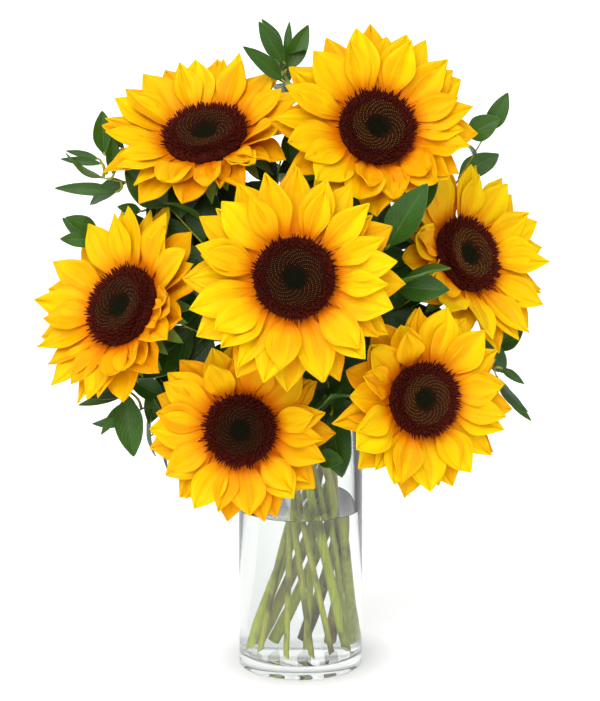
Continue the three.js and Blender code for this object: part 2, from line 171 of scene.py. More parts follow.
SPRIGS = {
    "top": sprig(
        foot=(7, -25), waist=(-6, -4), fork=(-3, 16, 232),
        large=[
            ((-12, 2, 420), (-37, -8, 445), 6.2), ((-11, 10, 431), (-29, 6, 459), 6.2),
            ((-11, 14, 425), (7, 16, 456), 7.0), ((-9, 24, 433), (-9, 28, 459), 3.0),
        ],
        twigs=[twig((-10, 26, 310), (-6, 38, 396), (-14, 34, 434), leaves=9, bare=0.45, length=37, turn=30)],
    ),
    "left_side": sprig(
        foot=(19, -17), waist=(-4, -11), fork=(-16, 10, 228),
        large=[
            ((-127, 0, 343), (-170, -6, 348), 4.6), ((-138, 4, 362), (-167, 2, 366), 3.0),
            ((-140, 4, 365), (-164, 8, 372), 2.6), ((-137, 8, 368), (-137, 8, 398), 7.5),
            ((-130, 0, 355), (-130, -4, 381), 5.4), ((-141, -6, 317), (-162, -14, 326), 5.8),
            ((-141, -6, 311), (-165, -16, 312), 5.8), ((-110, -14, 331), (-126, -18, 335), 4.0),
        ],
        twigs=[
            twig((-58, 20, 291), (-100, 14, 340), (-138, 6, 352), leaves=8, bare=0.3, length=36, turn=80),
            twig((-52, 22, 262), (-100, 12, 298), (-140, 2, 310), leaves=7, bare=0.4, length=34, turn=10),
            twig((-60, 26, 300), (-104, 22, 352), (-124, 14, 372), leaves=5, bare=0.6, length=32, turn=40),
        ],
    ),
    "low_left_side": sprig(
        foot=(25, 1), waist=(11, -11), fork=(-25, -1, 211),
        large=[
            ((-120, -44, 207), (-116, -58, 168), 10.0), ((-94, -40, 205), (-119, -44, 220), 7.5),
            ((-97, -36, 216), (-104, -40, 186), 7.5), ((-92, -36, 222), (-112, -40, 231), 6.0),
            ((-122, -42, 202), (-138, -46, 180), 3.6), ((-119, -36, 208), (-155, -34, 197), 3.6),
        ],
        twigs=[
            twig((-54, -16, 212), (-86, -26, 206), (-118, -38, 192), leaves=7, bare=0.25, length=36, turn=0),
            twig((-54, -20, 204), (-82, -34, 190), (-104, -42, 178), leaves=5, bare=0.5, length=32, turn=60),
        ],
    ),
    "right_side": sprig(
        foot=(-24, -11), waist=(3, 14), fork=(30, 22, 222),
        large=[
            ((115, 0, 382), (137, -6, 393), 8.8), ((134, -10, 231), (158, -14, 255), 9.4),
            ((140, -16, 221), (156, -22, 211), 3.2), ((144, -20, 202), (161, -28, 186), 2.8),
        ],
        twigs=[
            twig((70, 28, 290), (108, 24, 343), (130, 7, 384), leaves=8, bare=0.25, length=38, turn=40),
            twig((82, 10, 238), (124, -14, 244), (136, -34, 218), leaves=8, bare=0.25, length=36, turn=20),
        ],
    ),
    "back": sprig(
        foot=(-9, -24), waist=(-5, 5), fork=(-6, 30, 226),
        twigs=[
            twig((-34, 58, 280), (-52, 66, 330), (-62, 50, 366), leaves=5, bare=0.15, length=38, turn=60),
            twig((26, 62, 284), (48, 66, 330), (58, 48, 370), leaves=5, bare=0.15, length=38, turn=15),
        ],
        # the shoots' leaves carry painted shade, darker the deeper inside the bouquet they lie
        shoots=[
            twig((-30, 10, 290), (-62, -4, 330), (-90, -22, 352), leaves=12, bare=0.3, length=44, deep=0.6),
            twig((-40, 6, 262), (-74, -10, 286), (-104, -20, 318), leaves=12, bare=0.3, length=44, deep=0.7),
            twig((-12, 4, 300), (-16, -12, 350), (-10, -16, 384), leaves=12, bare=0.3, length=44, deep=0.7),
            twig((36, 6, 280), (62, -10, 320), (84, -22, 352), leaves=12, bare=0.3, length=46, deep=0.6),
            twig((36, -2, 258), (70, -24, 270), (96, -36, 270), leaves=12, bare=0.3, length=44, deep=0.7),
            twig((-40, 0, 236), (-74, -20, 240), (-108, -34, 226), leaves=12, bare=0.3, length=44, deep=0.7),
        ],
    ),
    "middle": sprig(
        foot=(3, 2), waist=(8, 0), fork=(8, -4, 230), aspect=0.6,
        large=[
            ((58, -80, 317), (79, -90, 360), 11.2), ((64, -82, 289), (97, -94, 291), 9.6),
            ((-83, -50, 275), (-71, -56, 302), 5.8), ((-81, -50, 254), (-70, -56, 240), 5.0),
            ((15, -58, 194), (34, -66, 231), 7.2), ((11, -70, 171), (28, -78, 168), 6.6),
            ((-19, -82, 138), (-38, -86, 134), 3.4),
        ],
        twigs=[
            twig((30, -36, 266), (52, -62, 304), (57, -68, 316), leaves=4, bare=0.55, length=56, turn=60),
            twig((34, -46, 252), (52, -70, 276), (60, -76, 285), leaves=4, bare=0.5, length=52, turn=30),
            twig((-24, -24, 272), (-50, -34, 306), (-66, -40, 326), leaves=4, bare=0.35, length=54, turn=20),
            twig((-26, -18, 246), (-54, -34, 262), (-74, -50, 272), leaves=3, bare=0.45, length=50, turn=20),
            twig((16, -26, 226), (18, -46, 214), (20, -60, 212), leaves=3, bare=0.4, length=50, turn=70),
        ],
        # the shoots' leaves carry painted shade, darker the deeper inside the bouquet they lie
        shoots=[
            twig((34, -30, 270), (56, -48, 310), (70, -54, 336), leaves=9, bare=0.4, length=50, deep=0.15),
            twig((36, -34, 246), (56, -52, 262), (74, -56, 276), leaves=9, bare=0.4, length=48, deep=0.3),
            twig((-30, -22, 268), (-62, -34, 306), (-90, -40, 338), leaves=10, bare=0.4, length=46, deep=0.2),
            twig((-32, -30, 240), (-62, -52, 250), (-84, -62, 262), leaves=10, bare=0.4, length=46, deep=0.5),
            twig((14, -24, 232), (18, -48, 222), (22, -62, 200), leaves=9, bare=0.4, length=44, deep=0.4),
            twig((-6, -20, 280), (-8, -34, 330), (-6, -34, 366), leaves=10, bare=0.4, length=44, deep=0.5),
        ],
    ),
}

# blades in metres and degrees; the two rows of petals, their half width and the lean and curl of
# leaves are the frame's. proud: how far from the disc's edge a petal's root shows; hidden: how much
# of the petal lies further in; broad: times the frame's half width
PETAL_ROWS = [{"height": -0.0016, "lean": 5, "share": 0.94}, {"height": -0.003, "lean": -8, "share": 1}]
FILLER_ROWS = [{"height": -0.001, "lean": 10, "share": 0.82}, {"height": -0.0023, "lean": -2, "share": 0.92}]
PETAL = {
    "proud": 0.0008, "hidden": 0.002, "half": 0.00925, "broad": 1.32, "broad_sway": 0.12, "sway": 3,
    "curl": -6, "curl_sway": 10,
}
CUP = {"neck": -0.020, "flare": -0.010, "shoulder": -0.0043, "top": -0.0015, "bracts": -0.007}
BRACT = {"count": 12, "length": 0.024, "half": 0.0055, "root": 0.0025, "curl": -16, "keel": 0.1}
BRACT_ROWS = [
    {"lift": -30, "share": 1, "height": 0, "turn": 0.5},
    {"lift": -17, "share": 0.9, "height": 0.0015, "turn": 0},
]
LEAF = {"lean": 48, "tip_lean": 6, "curl": -28, "keel": 0.14}
LEAF_TRIES = [
    (0, 1), (40, 1), (-40, 1), (80, 0.9), (-80, 0.9), (0, 0.7), (120, 0.7), (-120, 0.7), (180, 0.7),
    (60, 0.5),
]
CUT = {"height": 0.0143, "tilt": 40, "spare": 0.008}
WAIST_HEIGHT = 0.140
TWIG_START = 0.97

# how far petals of the main rows and the fillers differ from one another; shrink: share of its length
# that a folded one loses; narrow: the draw up to which a petal is a narrow one
MAIN = {
    "lean": 2, "broad": 1, "half": 0.1, "length": 0.06, "roll": 4, "shrink": 0.24, "narrow": -0.5,
    "tone": 0.3,
}
FILLER = {
    "lean": 4, "broad": 1.15, "half": 0.2, "length": 0.1, "roll": 9, "shrink": 0.3, "narrow": 0.2,
    "tone": 0.35,
}
GLASS = {"ior": 1.45, "sheen": 0.12, "shade": (0.75, 0.78, 0.77)}
WATER = {"ior": 1.33, "sheen": 0.05, "shade": (0.95, 0.96, 0.95)}

# shares of the disc's radius where its dark middle ends and its fringe begins
CORE_END, FRINGE_START = 0.34, 0.74
# kinds of floret: sides, and radii of waist, belly and top where it is one unit wide
FLORETS = {
    "spike floret": (5, 0.15, 0.13, 0.07), "stub floret": (4, 0.15, 0.21, 0.13),
    "bud floret": (4, 0.2, 0.24, 0.12),
}
# the disc's face as (share of the radius, height over the centre's plane)
DOME = [(0, 0.0045), (0.28, 0.0047), (0.5, 0.0068), (0.72, 0.0075), (0.93, 0.0062), (1.06, 0.0040)]

# wood of the sprigs: its radius at the start and the end, steps along it and roundness
SPRIG_STEM = {"start": 0.0019, "end": 0.001786, "steps": 40, "roundness": 3}
TWIG = {"start": 0.001495, "end": 0.00052, "steps": 40, "roundness": 2}
SHOOT = {"start": 0.00138, "end": 0.00048, "steps": 40, "roundness": 2}
LEAF_STALK = {"start": 0.00108, "end": 0.00063, "steps": 12, "roundness": 2}
WOOD_BROWN = 0.35

# outlines as (share of the length, share of the half width)
PETAL_OUTLINE = [
    (0, 0.33), (0.1, 0.46), (0.22, 0.7), (0.34, 0.88), (0.48, 1), (0.6, 0.97), (0.72, 0.81),
    (0.82, 0.57), (0.91, 0.29), (0.97, 0.1), (1, 0.02),
]
NARROW_OUTLINE = [
    (0, 0.33), (0.1, 0.42), (0.22, 0.6), (0.36, 0.82), (0.48, 0.92), (0.6, 0.84), (0.72, 0.64),
    (0.84, 0.38), (0.93, 0.16), (1, 0.02),
]
LEAF_OUTLINE = [
    (0, 0.12), (0.06, 0.24), (0.16, 0.62), (0.36, 1), (0.5, 0.99), (0.7, 0.78), (0.86, 0.42), (1, 0.02),
]
BRACT_OUTLINE = [(0, 0.85), (0.2, 1), (0.4, 0.95), (0.7, 0.6), (0.88, 0.25), (1, 0.02)]


# ---------- sizes and colours that a user would change ----------
def measure(name, description, default):
    return FloatProperty(name=name, description=description, default=default, unit="LENGTH")


def amount(name, description, default):
    return FloatProperty(name=name, description=description, default=default)


def tint(name, description, default):
    return FloatVectorProperty(name=name, description=description, default=default, subtype="COLOR")


class VaseSettings(bpy.types.PropertyGroup):
    """Sizes and finish of the glass vase and its water."""

    radius: measure("Radius", "Outer radius of the glass", 0.0445)
    height: measure("Height", "Height of the glass", 0.203)
    wall: measure("Wall", "Thickness of the wall", 0.003)
    floor: measure("Floor", "Thickness of the floor", 0.010)
    water_level: measure("Water Level", "Height of the water", 0.117)
    glass: tint("Glass", "Tint of the glass", (0.95, 0.97, 0.963))
    water: tint("Water", "Tint of the water", (0.985, 0.99, 0.985))


class PetalSettings(bpy.types.PropertyGroup):
    """Form and colours of the petals."""

    fillers: IntProperty(
        name="Fillers", description="Extra petals between the two main rows of a head", default=15
    )
    thickness: measure("Thickness", "Thickness of a petal", 0.00045)
    ridge: amount("Ridge", "Height of the two long ridges, in half widths", 0.08)
    root: tint("Root", "Colour beside the disc", (0.88, 0.27, 0.0))
    middle: tint("Middle", "Colour of the blade", (0.93, 0.62, 0.0))
    tip: tint("Tip", "Colour of the tips", (0.94, 0.78, 0.002))


class DiscSettings(bpy.types.PropertyGroup):
    """Florets of the dark discs."""

    florets: IntProperty(name="Florets", description="Florets of one disc", default=1300)
    fringe: tint("Fringe", "Outer florets", (0.050, 0.006, 0.003))
    brown: tint("Brown", "Florets half way in", (0.022, 0.006, 0.003))
    ripe: tint("Ripe", "The same on a ripe disc", (0.036, 0.011, 0.004))
    core: tint("Core", "Closed florets in the middle", (0.007, 0.008, 0.003))
    pollen: tint("Pollen", "Dots on the brown florets", (0.27, 0.125, 0.035))


class GreenSettings(bpy.types.PropertyGroup):
    """Stems, cups and leaves."""

    stem: tint("Stem", "Colour of the stems", (0.27, 0.34, 0.012))
    stem_brown: tint("Brown Stem", "Colour of the older stems", (0.19, 0.12, 0.03))
    cut: tint("Cut", "Colour of the cut ends", (0.72, 0.70, 0.45))
    bract: tint("Bract", "Colour of the cup behind a head", (0.10, 0.19, 0.025))
    leaf: tint("Leaf", "Upper side of the leaves", (0.024, 0.082, 0.006))
    leaf_under: tint("Leaf Under", "Lower side of the leaves", (0.075, 0.16, 0.02))


class StageSettings(bpy.types.PropertyGroup):
    """Camera, floor and light."""

    camera_place: FloatVectorProperty(
        name="Camera", description="Place of the camera", default=(-0.0004, -1.550, 0.5337),
        subtype="TRANSLATION",
    )
    camera_down: FloatProperty(
        name="Down", description="How far the camera looks down", default=radians(11.08), subtype="ANGLE"
    )
    lens: FloatProperty(name="Lens", description="Focal length", default=114.8, subtype="DISTANCE_CAMERA")
    floor_size: measure("Floor Size", "Width of the pale floor", 30)
    sky: amount("Sky", "Strength of the soft light all round", 0.7)
    key: amount("Key", "Strength of the soft key light", 2.75)
    floor: tint("Floor", "Colour of the floor", (0.86, 0.86, 0.86))


# ---------- small helpers ----------
def sway(seed):
    """Repeatable spread of small differences, from -1 to 1."""
    state = seed

    def draw():
        nonlocal state
        state = state * 16807 % 2147483647
        return state / 2147483647 * 2 - 1

    return draw


def through(points, at):
    """Smooth curve through (x, y) points, read at the places `at`."""
    x, y = np.array(points, float).T
    slope = np.gradient(y, x)
    i = np.clip(np.searchsorted(x, at) - 1, 0, len(x) - 2)
    step = x[i + 1] - x[i]
    t = (np.asarray(at) - x[i]) / step
    start = (1 + 2 * t) * (1 - t) ** 2 * y[i] + t * (1 - t) ** 2 * step * slope[i]
    return start + t * t * (3 - 2 * t) * y[i + 1] + t * t * (t - 1) * step * slope[i + 1]


def deselect_all():
    if bpy.context.object and bpy.context.object.mode != "OBJECT":
        bpy.ops.object.mode_set(mode="OBJECT")
    bpy.ops.object.select_all(action="DESELECT")


def select_only(piece):
    deselect_all()
    piece.select_set(True)
    bpy.context.view_layer.objects.active = piece


def start_edit(piece, kind="FACE"):
    """Edit mode with everything selected; kind is VERT, EDGE or FACE."""
    select_only(piece)
    bpy.ops.object.mode_set(mode="EDIT")
    bpy.ops.mesh.select_mode(type=kind)
    bpy.ops.mesh.select_all(action="SELECT")


def end_edit():
    bpy.ops.object.mode_set(mode="OBJECT")


def pick(piece, kind, wanted):
    """Selects the vertices, edges or faces that `wanted` says yes to, and nothing else."""
    bpy.ops.mesh.select_all(action="DESELECT")
    shape = bmesh.from_edit_mesh(piece.data)
    for element in getattr(shape, kind):
        if wanted(element):
            element.select_set(True)
    shape.select_flush_mode()
    bmesh.update_edit_mesh(piece.data)


def added(name):
    """The primitive that was just added, named, with its place in its mesh."""
    piece = bpy.context.object
    piece.name = piece.data.name = name
    bpy.ops.object.transform_apply(location=True, rotation=True, scale=True)
    return piece


def cylinder(name, sides, radius, bottom, top):
    """An upright cylinder, left in edit mode with its top face picked."""
    deselect_all()
    bpy.ops.mesh.primitive_cylinder_add(
        vertices=sides, radius=radius, depth=top - bottom, location=(0, 0, (top + bottom) / 2)
    )
    piece = added(name)
    start_edit(piece)
    pick(piece, "faces", lambda f: f.normal.z > 0.9)
    return piece


def draw_out(rise, scale=1, height=0):
    """Draws the picked face up by the rise and scales it about the axis, where it then lies."""
    bpy.ops.mesh.extrude_region_move(TRANSFORM_OT_translate={"value": (0, 0, rise)})
    bpy.ops.transform.resize(value=(scale, scale, 1), center_override=(0, 0, height))


def bevel_ring(piece, radius, height, offset, segments):
    """Rounds the edge that runs all round a turned form at that radius and height."""
    room = 1e-5

    def wanted(edge):
        return all(
            abs(v.co.z - height) < room and abs(v.co.xy.length - radius) < room for v in edge.verts
        )

    bpy.ops.mesh.select_mode(type="EDGE")
    pick(piece, "edges", wanted)
    bpy.ops.mesh.bevel(offset=offset, segments=segments, affect="EDGES")


def smooth(piece, angle):
    select_only(piece)
    bpy.ops.object.shade_smooth_by_angle(angle=radians(angle))


def finish_piece(piece, slot, *nodes):
    """The piece rides on the bouquet's body and stands for the named nodes of the frame."""
    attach(piece, BODY)
    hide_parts(*nodes)


# ---------- forms that repeat: modelled once, copied as points ----------
class Master:
    """The points, faces, UVs and point values of a modelled form, from which copies are laid out."""

    def __init__(self, piece, **values):
        mesh = piece.data
        self.points = np.array([v.co for v in mesh.vertices], float)
        self.faces = [tuple(p.vertices) for p in mesh.polygons]
        self.uv = np.zeros(2 * len(mesh.loops))
        if mesh.uv_layers:
            mesh.uv_layers[0].data.foreach_get("uv", self.uv)
        self.values = values
        bpy.data.objects.remove(piece)


class Gathering:
    """Copies of masters, gathered into one mesh with a UV map and named values on its points."""

    def __init__(self):
        self.points, self.faces, self.uv, self.values = [], [], [], {}
        self.count = 0

    def add(self, master, points, **values):
        self.points.append(points)
        self.faces += [tuple(i + self.count for i in face) for face in master.faces]
        self.uv.append(master.uv)
        for name, value in {**master.values, **values}.items():
            spread = np.broadcast_to(np.asarray(value, float), len(points))
            self.values.setdefault(name, []).append((self.count, spread))
        self.count += len(points)

    def piece(self, name, material):
        mesh = bpy.data.meshes.new(name)
        mesh.from_pydata(np.concatenate(self.points).tolist(), [], self.faces)
        mesh.uv_layers.new(name="UVMap").data.foreach_set("uv", np.concatenate(self.uv))
        for key, runs in self.values.items():
            spread = np.zeros(self.count)
            for first, values in runs:
                spread[first : first + len(values)] = values
            mesh.attributes.new(key, "FLOAT", "POINT").data.foreach_set("value", spread)
        mesh.materials.append(material)
        mesh.update()
        made = bpy.data.objects.new(name, mesh)
        bpy.context.scene.collection.objects.link(made)
        return made


def blade_master(name, outline, cells, profile, thickness):
    """A blade modelled flat: along X from 0 to 1, across Y in half widths. The profile says, for a
    place across from -1 to 1, how high the blade stands there; it fades at the root and the tip."""
    along, across = cells
    deselect_all()
    bpy.ops.mesh.primitive_grid_add(
        x_subdivisions=along, y_subdivisions=across, size=1, location=(0.5, 0, 0)
    )
    piece = added(name)
    start_edit(piece, "VERT")
    bpy.ops.transform.resize(value=(1, 2, 1), center_override=(0, 0, 0))
    for row in range(across + 1):
        y = 2 * row / across - 1
        pick(piece, "verts", lambda v: abs(v.co.y - y) < 1e-4)
        bpy.ops.transform.translate(value=(0, 0, profile(y)))
    for column in range(along + 1):
        x = column / along
        width = float(through(outline, np.array([x]))[0])
        fade = 0.25 + 0.75 * sin(pi * min(1, x * 1.6) / 2) * min(1, 4 * (1 - x) + 0.2)
        pick(piece, "verts", lambda v: abs(v.co.x - x) < 1e-4)
        bpy.ops.transform.resize(value=(1, width, fade), center_override=(x, 0, 0))
    end_edit()
    flat = len(piece.data.vertices)
    solidify = piece.modifiers.new("thickness", "SOLIDIFY")
    solidify.thickness = thickness
    solidify.offset = 0
    select_only(piece)
    bpy.ops.object.modifier_apply(modifier=solidify.name)
    start_edit(piece)
    bpy.ops.mesh.normals_make_consistent(inside=False)
    end_edit()
    heights = np.array([v.co.z for v in piece.data.vertices])
    under = np.arange(len(heights)) < flat
    if heights[flat:].mean() < heights[:flat].mean():
        under = ~under
    return Master(piece, under=under)


def bent_blade(master, blade, place):
    """A copy's points: twisted, swept sideways, rippled and curled, then set in its place.

    blade holds length and half in metres; curl, tip_curl, twist in degrees over the whole length;
    sweep as a share of the length; cup and ripple in half widths. The tip's own curl starts at
    tip_from, a share of the length."""
    samples, tip_from = 64, 0.55
    x, across, height = master.points.T
    x = np.clip(x, 0, 1)
    length, half = blade["length"], blade["half"]
    v = across * half
    w = height * half + blade["cup"] * half * across**2 * np.sin(pi * x**0.8)
    ripple = np.sin(2 * pi * (2.2 * x + blade.get("phase", 0)) + 1.3 * across)
    w = w + blade.get("ripple", 0) * half * ripple * np.abs(across) * x
    turn = radians(blade["twist"]) * x**1.4
    v, w = v * np.cos(turn) - w * np.sin(turn), v * np.sin(turn) + w * np.cos(turn)
    v = v + blade["sweep"] * length * x**2
    steps = np.linspace(0, 1, samples + 1)
    tip = np.clip((steps - tip_from) / (1 - tip_from), 0, 1) ** 2
    heading = radians(blade["curl"]) * steps + radians(blade["tip_curl"]) * tip
    middle = (heading[1:] + heading[:-1]) / 2
    forth = np.concatenate([[0], np.cumsum(np.cos(middle))]) * length / samples
    rise = np.concatenate([[0], np.cumsum(np.sin(middle))]) * length / samples
    slope = np.interp(x, steps, heading)
    along = np.interp(x, steps, forth) - np.sin(slope) * w
    up = np.interp(x, steps, rise) + np.cos(slope) * w
    return moved(np.stack([along, v, up], 1), place)


def moved(points, place):
    matrix = np.array(place)
    return points @ matrix[:3, :3].T + matrix[:3, 3]


def axes(along, up, origin):
    """Matrix whose columns are the way a blade points, across it, and out of its upper face."""
    across = up.cross(along).normalized()
    matrix = Matrix((along, across, along.cross(across).normalized())).transposed().to_4x4()
    matrix.translation = origin
    return matrix


def petal_place(angle, radius, height, lean, roll):
    """Place of a blade on a head, standing out at the angle; lean and roll in degrees."""
    lean = radians(lean)
    outward = Vector((cos(angle), sin(angle), 0))
    along = outward * cos(lean) + UP * sin(lean)
    up = outward * -sin(lean) + UP * cos(lean)
    up.rotate(Matrix.Rotation(radians(roll), 3, along))
    return axes(along, up, outward * radius + UP * height)


def head_place(flower):
    a, e = radians(flower["az"]), radians(flower["el"])
    facing = Vector((sin(a) * cos(e), -cos(a) * cos(e), sin(e)))
    right = Vector((cos(a), sin(a), 0))
    matrix = Matrix((right, facing.cross(right), facing)).transposed().to_4x4()
    matrix.translation = Vector(flower["place"])
    return matrix


class Route:
    """Smooth curve through points, evenly loose between near and far ones."""

    def __init__(self, *points):
        self.points = [Vector(p) for p in points]

    def at(self, t):
        points = self.points
        place = (len(points) - 1) * t
        i = min(int(place), len(points) - 2)
        weight = place - i
        b, c = points[i], points[i + 1]
        a = points[i - 1] if i > 0 else 2 * b - c
        d = points[i + 2] if i + 2 < len(points) else 2 * c - b
        ab, bc, cd = ((q - p).length ** 0.5 for p, q in ((a, b), (b, c), (c, d)))
        start = ((b - a) / ab - (c - a) / (ab + bc) + (c - b) / bc) * bc
        end = ((c - b) / bc - (d - b) / (bc + cd) + (d - c) / cd) * bc
        cubic = 2 * b - 2 * c + start + end
        square = -3 * b + 3 * c - 2 * start - end
        return b + start * weight + square * weight**2 + cubic * weight**3

    def way(self, t):
        return (self.at(min(1, t + 1e-4)) - self.at(max(0, t - 1e-4))).normalized()


def stem_route(foot, waist, *upper):
    start = Vector((*foot, CUT["height"]))
    gather = Vector((*waist, WAIST_HEIGHT))
    below = start - (gather - start).normalized() * CUT["spare"]
    return Route(below, start, gather, *upper)


def tube(name, route, radius_at, steps, roundness, materials):
    """A round stem along a route; radius_at gives its radius for a share of the route."""
    curve = bpy.data.curves.new(name, "CURVE")
    curve.dimensions = "3D"
    curve.bevel_depth = 1
    curve.bevel_resolution = roundness
    curve.use_fill_caps = True
    line = curve.splines.new("POLY")
    line.points.add(steps)
    for i, point in enumerate(line.points):
        t = i / steps
        point.co = (*route.at(t), 1)
        point.radius = radius_at(t)
    piece = bpy.data.objects.new(name, curve)
    bpy.context.scene.collection.objects.link(piece)
    select_only(piece)
    bpy.ops.object.convert(target="MESH")
    stem = bpy.context.object
    for material in materials:
        stem.data.materials.append(material)
    return stem


def slant_cut(piece, foot, turn):
    """Cuts a stem off on a slant above the vase's floor; the cut face takes the second material."""
    tilt = radians(CUT["tilt"])
    normal = Vector((cos(turn) * sin(tilt), sin(turn) * sin(tilt), cos(tilt)))
    start_edit(piece)
    bpy.ops.mesh.bisect(
        plane_co=(*foot, CUT["height"]), plane_no=normal, use_fill=True, clear_inner=True
    )
    piece.active_material_index = 1
    bpy.ops.object.material_slot_assign()
    end_edit()


def join(name, *pieces):
    select_only(pieces[0])
    for piece in pieces:
        piece.select_set(True)
    bpy.ops.object.join()
    pieces[0].name = pieces[0].data.name = name
    return pieces[0]


def set_value(piece, name, value):
    """One value on every point of the piece, for its material to read."""
    spread = piece.data.attributes.new(name, "FLOAT", "POINT")
    spread.data.foreach_set("value", np.full(len(piece.data.vertices), float(value)))


# ---------- materials ----------
def new_material(name):
    material = bpy.data.materials.new(name)
    material.use_nodes = True
    material.node_tree.nodes.clear()
    return material, material.node_tree


def feed(tree, socket, value):
    """Links a node's output to the socket, or sets its value; a plain colour gets its alpha."""
    if isinstance(value, bpy.types.NodeSocket):
        tree.links.new(value, socket)
    else:
        socket.default_value = (*value, 1) if socket.type == "RGBA" else value


def node(tree, kind, *links, **settings):
    """A shader node; links are (input, value or output socket) pairs."""
    made = tree.nodes.new(kind)
    for key, value in settings.items():
        setattr(made, key, value)
    for socket, value in links:
        feed(tree, made.inputs[socket], value)
    return made


def ramp(tree, factor, *stops):
    """Colour ramp through (place, colour) stops."""
    made = node(tree, "ShaderNodeValToRGB", ("Fac", factor))
    band = made.color_ramp
    while len(band.elements) < len(stops):
        band.elements.new(0.5)
    for element, (place, colour) in zip(band.elements, stops):
        element.position = place
        element.color = (*colour, 1)
    return made.outputs["Color"]


def blend(tree, factor, a, b, kind="MIX"):
    made = node(
        tree, "ShaderNodeMix", ("Factor", factor), (6, a), (7, b), data_type="RGBA", blend_type=kind
    )
    return made.outputs[2]


def tinted(tree, factor, colour, by):
    """The colour, multiplied by another as far as the factor says."""
    return blend(tree, factor, colour, by, "MULTIPLY")


def sum_of(tree, operation, a, b=0.0, c=0.0):
    return node(tree, "ShaderNodeMath", (0, a), (1, b), (2, c), operation=operation).outputs[0]


def times(tree, a, b):
    return sum_of(tree, "MULTIPLY", a, b)


def value_of(tree, name):
    return node(tree, "ShaderNodeAttribute", attribute_name=name).outputs["Fac"]


def object_place(tree):
    return node(tree, "ShaderNodeTexCoord").outputs["Object"]


def vector(tree, x, y, z):
    return node(tree, "ShaderNodeCombineXYZ", ("X", x), ("Y", y), ("Z", z)).outputs[0]


def parts_of(tree, place):
    return node(tree, "ShaderNodeSeparateXYZ", ("Vector", place)).outputs


def uv_parts(tree):
    parts = parts_of(tree, node(tree, "ShaderNodeUVMap", uv_map="UVMap").outputs[0])
    return parts["X"], parts["Y"]


def noise(tree, place, scale, detail):
    links = ("Vector", place), ("Scale", scale), ("Detail", detail)
    return node(tree, "ShaderNodeTexNoise", *links).outputs["Fac"]


def eased(tree, value, low, high, start=0.0, end=1.0):
    """Goes softly from start to end while the value goes from low to high."""
    links = ("Value", value), ("From Min", low), ("From Max", high), ("To Min", start), ("To Max", end)
    return node(tree, "ShaderNodeMapRange", *links, interpolation_type="SMOOTHSTEP").outputs["Result"]


def bump(tree, height, share, distance):
    links = ("Height", height), ("Strength", share), ("Distance", distance)
    return node(tree, "ShaderNodeBump", *links).outputs[0]


def principled(tree, colour, roughness, sheen, *links):
    links = ("Base Color", colour), ("Roughness", roughness), ("Specular IOR Level", sheen), *links
    return node(tree, "ShaderNodeBsdfPrincipled", *links).outputs[0]


def mixed(tree, factor, a, b):
    return node(tree, "ShaderNodeMixShader", (0, factor), (1, a), (2, b)).outputs[0]


def thin(tree, shader, share, colour, *links):
    """The shader of a thin blade, which lets a share of the light through."""
    lit = node(tree, "ShaderNodeBsdfTranslucent", ("Color", colour), *links).outputs[0]
    return mixed(tree, share, shader, lit)


def surface(tree, shader):
    node(tree, "ShaderNodeOutputMaterial", ("Surface", shader))


def new_group(name, inputs, outputs):
    """A group of nodes with plain numbers for its inputs and outputs, and those two."""
    group = bpy.data.node_groups.new(name, "ShaderNodeTree")
    for key, default in inputs.items():
        socket = group.interface.new_socket(key, in_out="INPUT", socket_type="NodeSocketFloat")
        socket.default_value = default
    for key in outputs:
        group.interface.new_socket(key, in_out="OUTPUT", socket_type="NodeSocketFloat")
    given, out = group.nodes.new("NodeGroupInput"), group.nodes.new("NodeGroupOutput")
    return group, given.outputs, out.inputs


def vein_group():
    """Veins of a blade: a pale midrib and side veins that run out at a slant, as masks."""
    inputs = {"Along": 0.0, "Across": 0.5, "Rib Width": 0.03, "Side Veins": 9.0}
    group, given, out = new_group("blade veins", inputs, ("Rib", "Sides"))
    slant, sharpness = -0.9, 8.0
    off = sum_of(group, "ABSOLUTE", sum_of(group, "SUBTRACT", given["Across"], 0.5))
    rib = sum_of(group, "SUBTRACT", 1.0, sum_of(group, "DIVIDE", off, given["Rib Width"]))
    feed(group, out["Rib"], sum_of(group, "MAXIMUM", rib, 0.0))
    run = sum_of(group, "MULTIPLY_ADD", off, slant, given["Along"])
    wave = sum_of(group, "COSINE", times(group, run, times(group, given["Side Veins"], 2 * pi)))
    raised = sum_of(group, "MULTIPLY_ADD", wave, 0.5, 0.5)
    feed(group, out["Sides"], sum_of(group, "POWER", raised, sharpness))


def mottle_group():
    """Soft uneven spread from 0 to 1 over a surface, at a given size and stretch along Z."""
    group, given, out = new_group("mottle", {"Scale": 100.0, "Stretch": 1.0, "Detail": 2.0}, ("Mottle",))
    stretch = vector(group, 1.0, 1.0, given["Stretch"])
    links = (0, object_place(group)), (1, stretch)
    scaled = node(group, "ShaderNodeVectorMath", *links, operation="MULTIPLY").outputs[0]
    feed(group, out["Mottle"], noise(group, scaled, given["Scale"], given["Detail"]))


def grouped(tree, group, **inputs):
    """The outputs of a shared group, with its inputs given in lower case."""
    made = node(tree, "ShaderNodeGroup", node_tree=bpy.data.node_groups[group])
    for name, value in inputs.items():
        feed(tree, made.inputs[name.replace("_", " ").title()], value)
    return made.outputs


def mottle(tree, **inputs):
    return grouped(tree, "mottle", **inputs)["Mottle"]


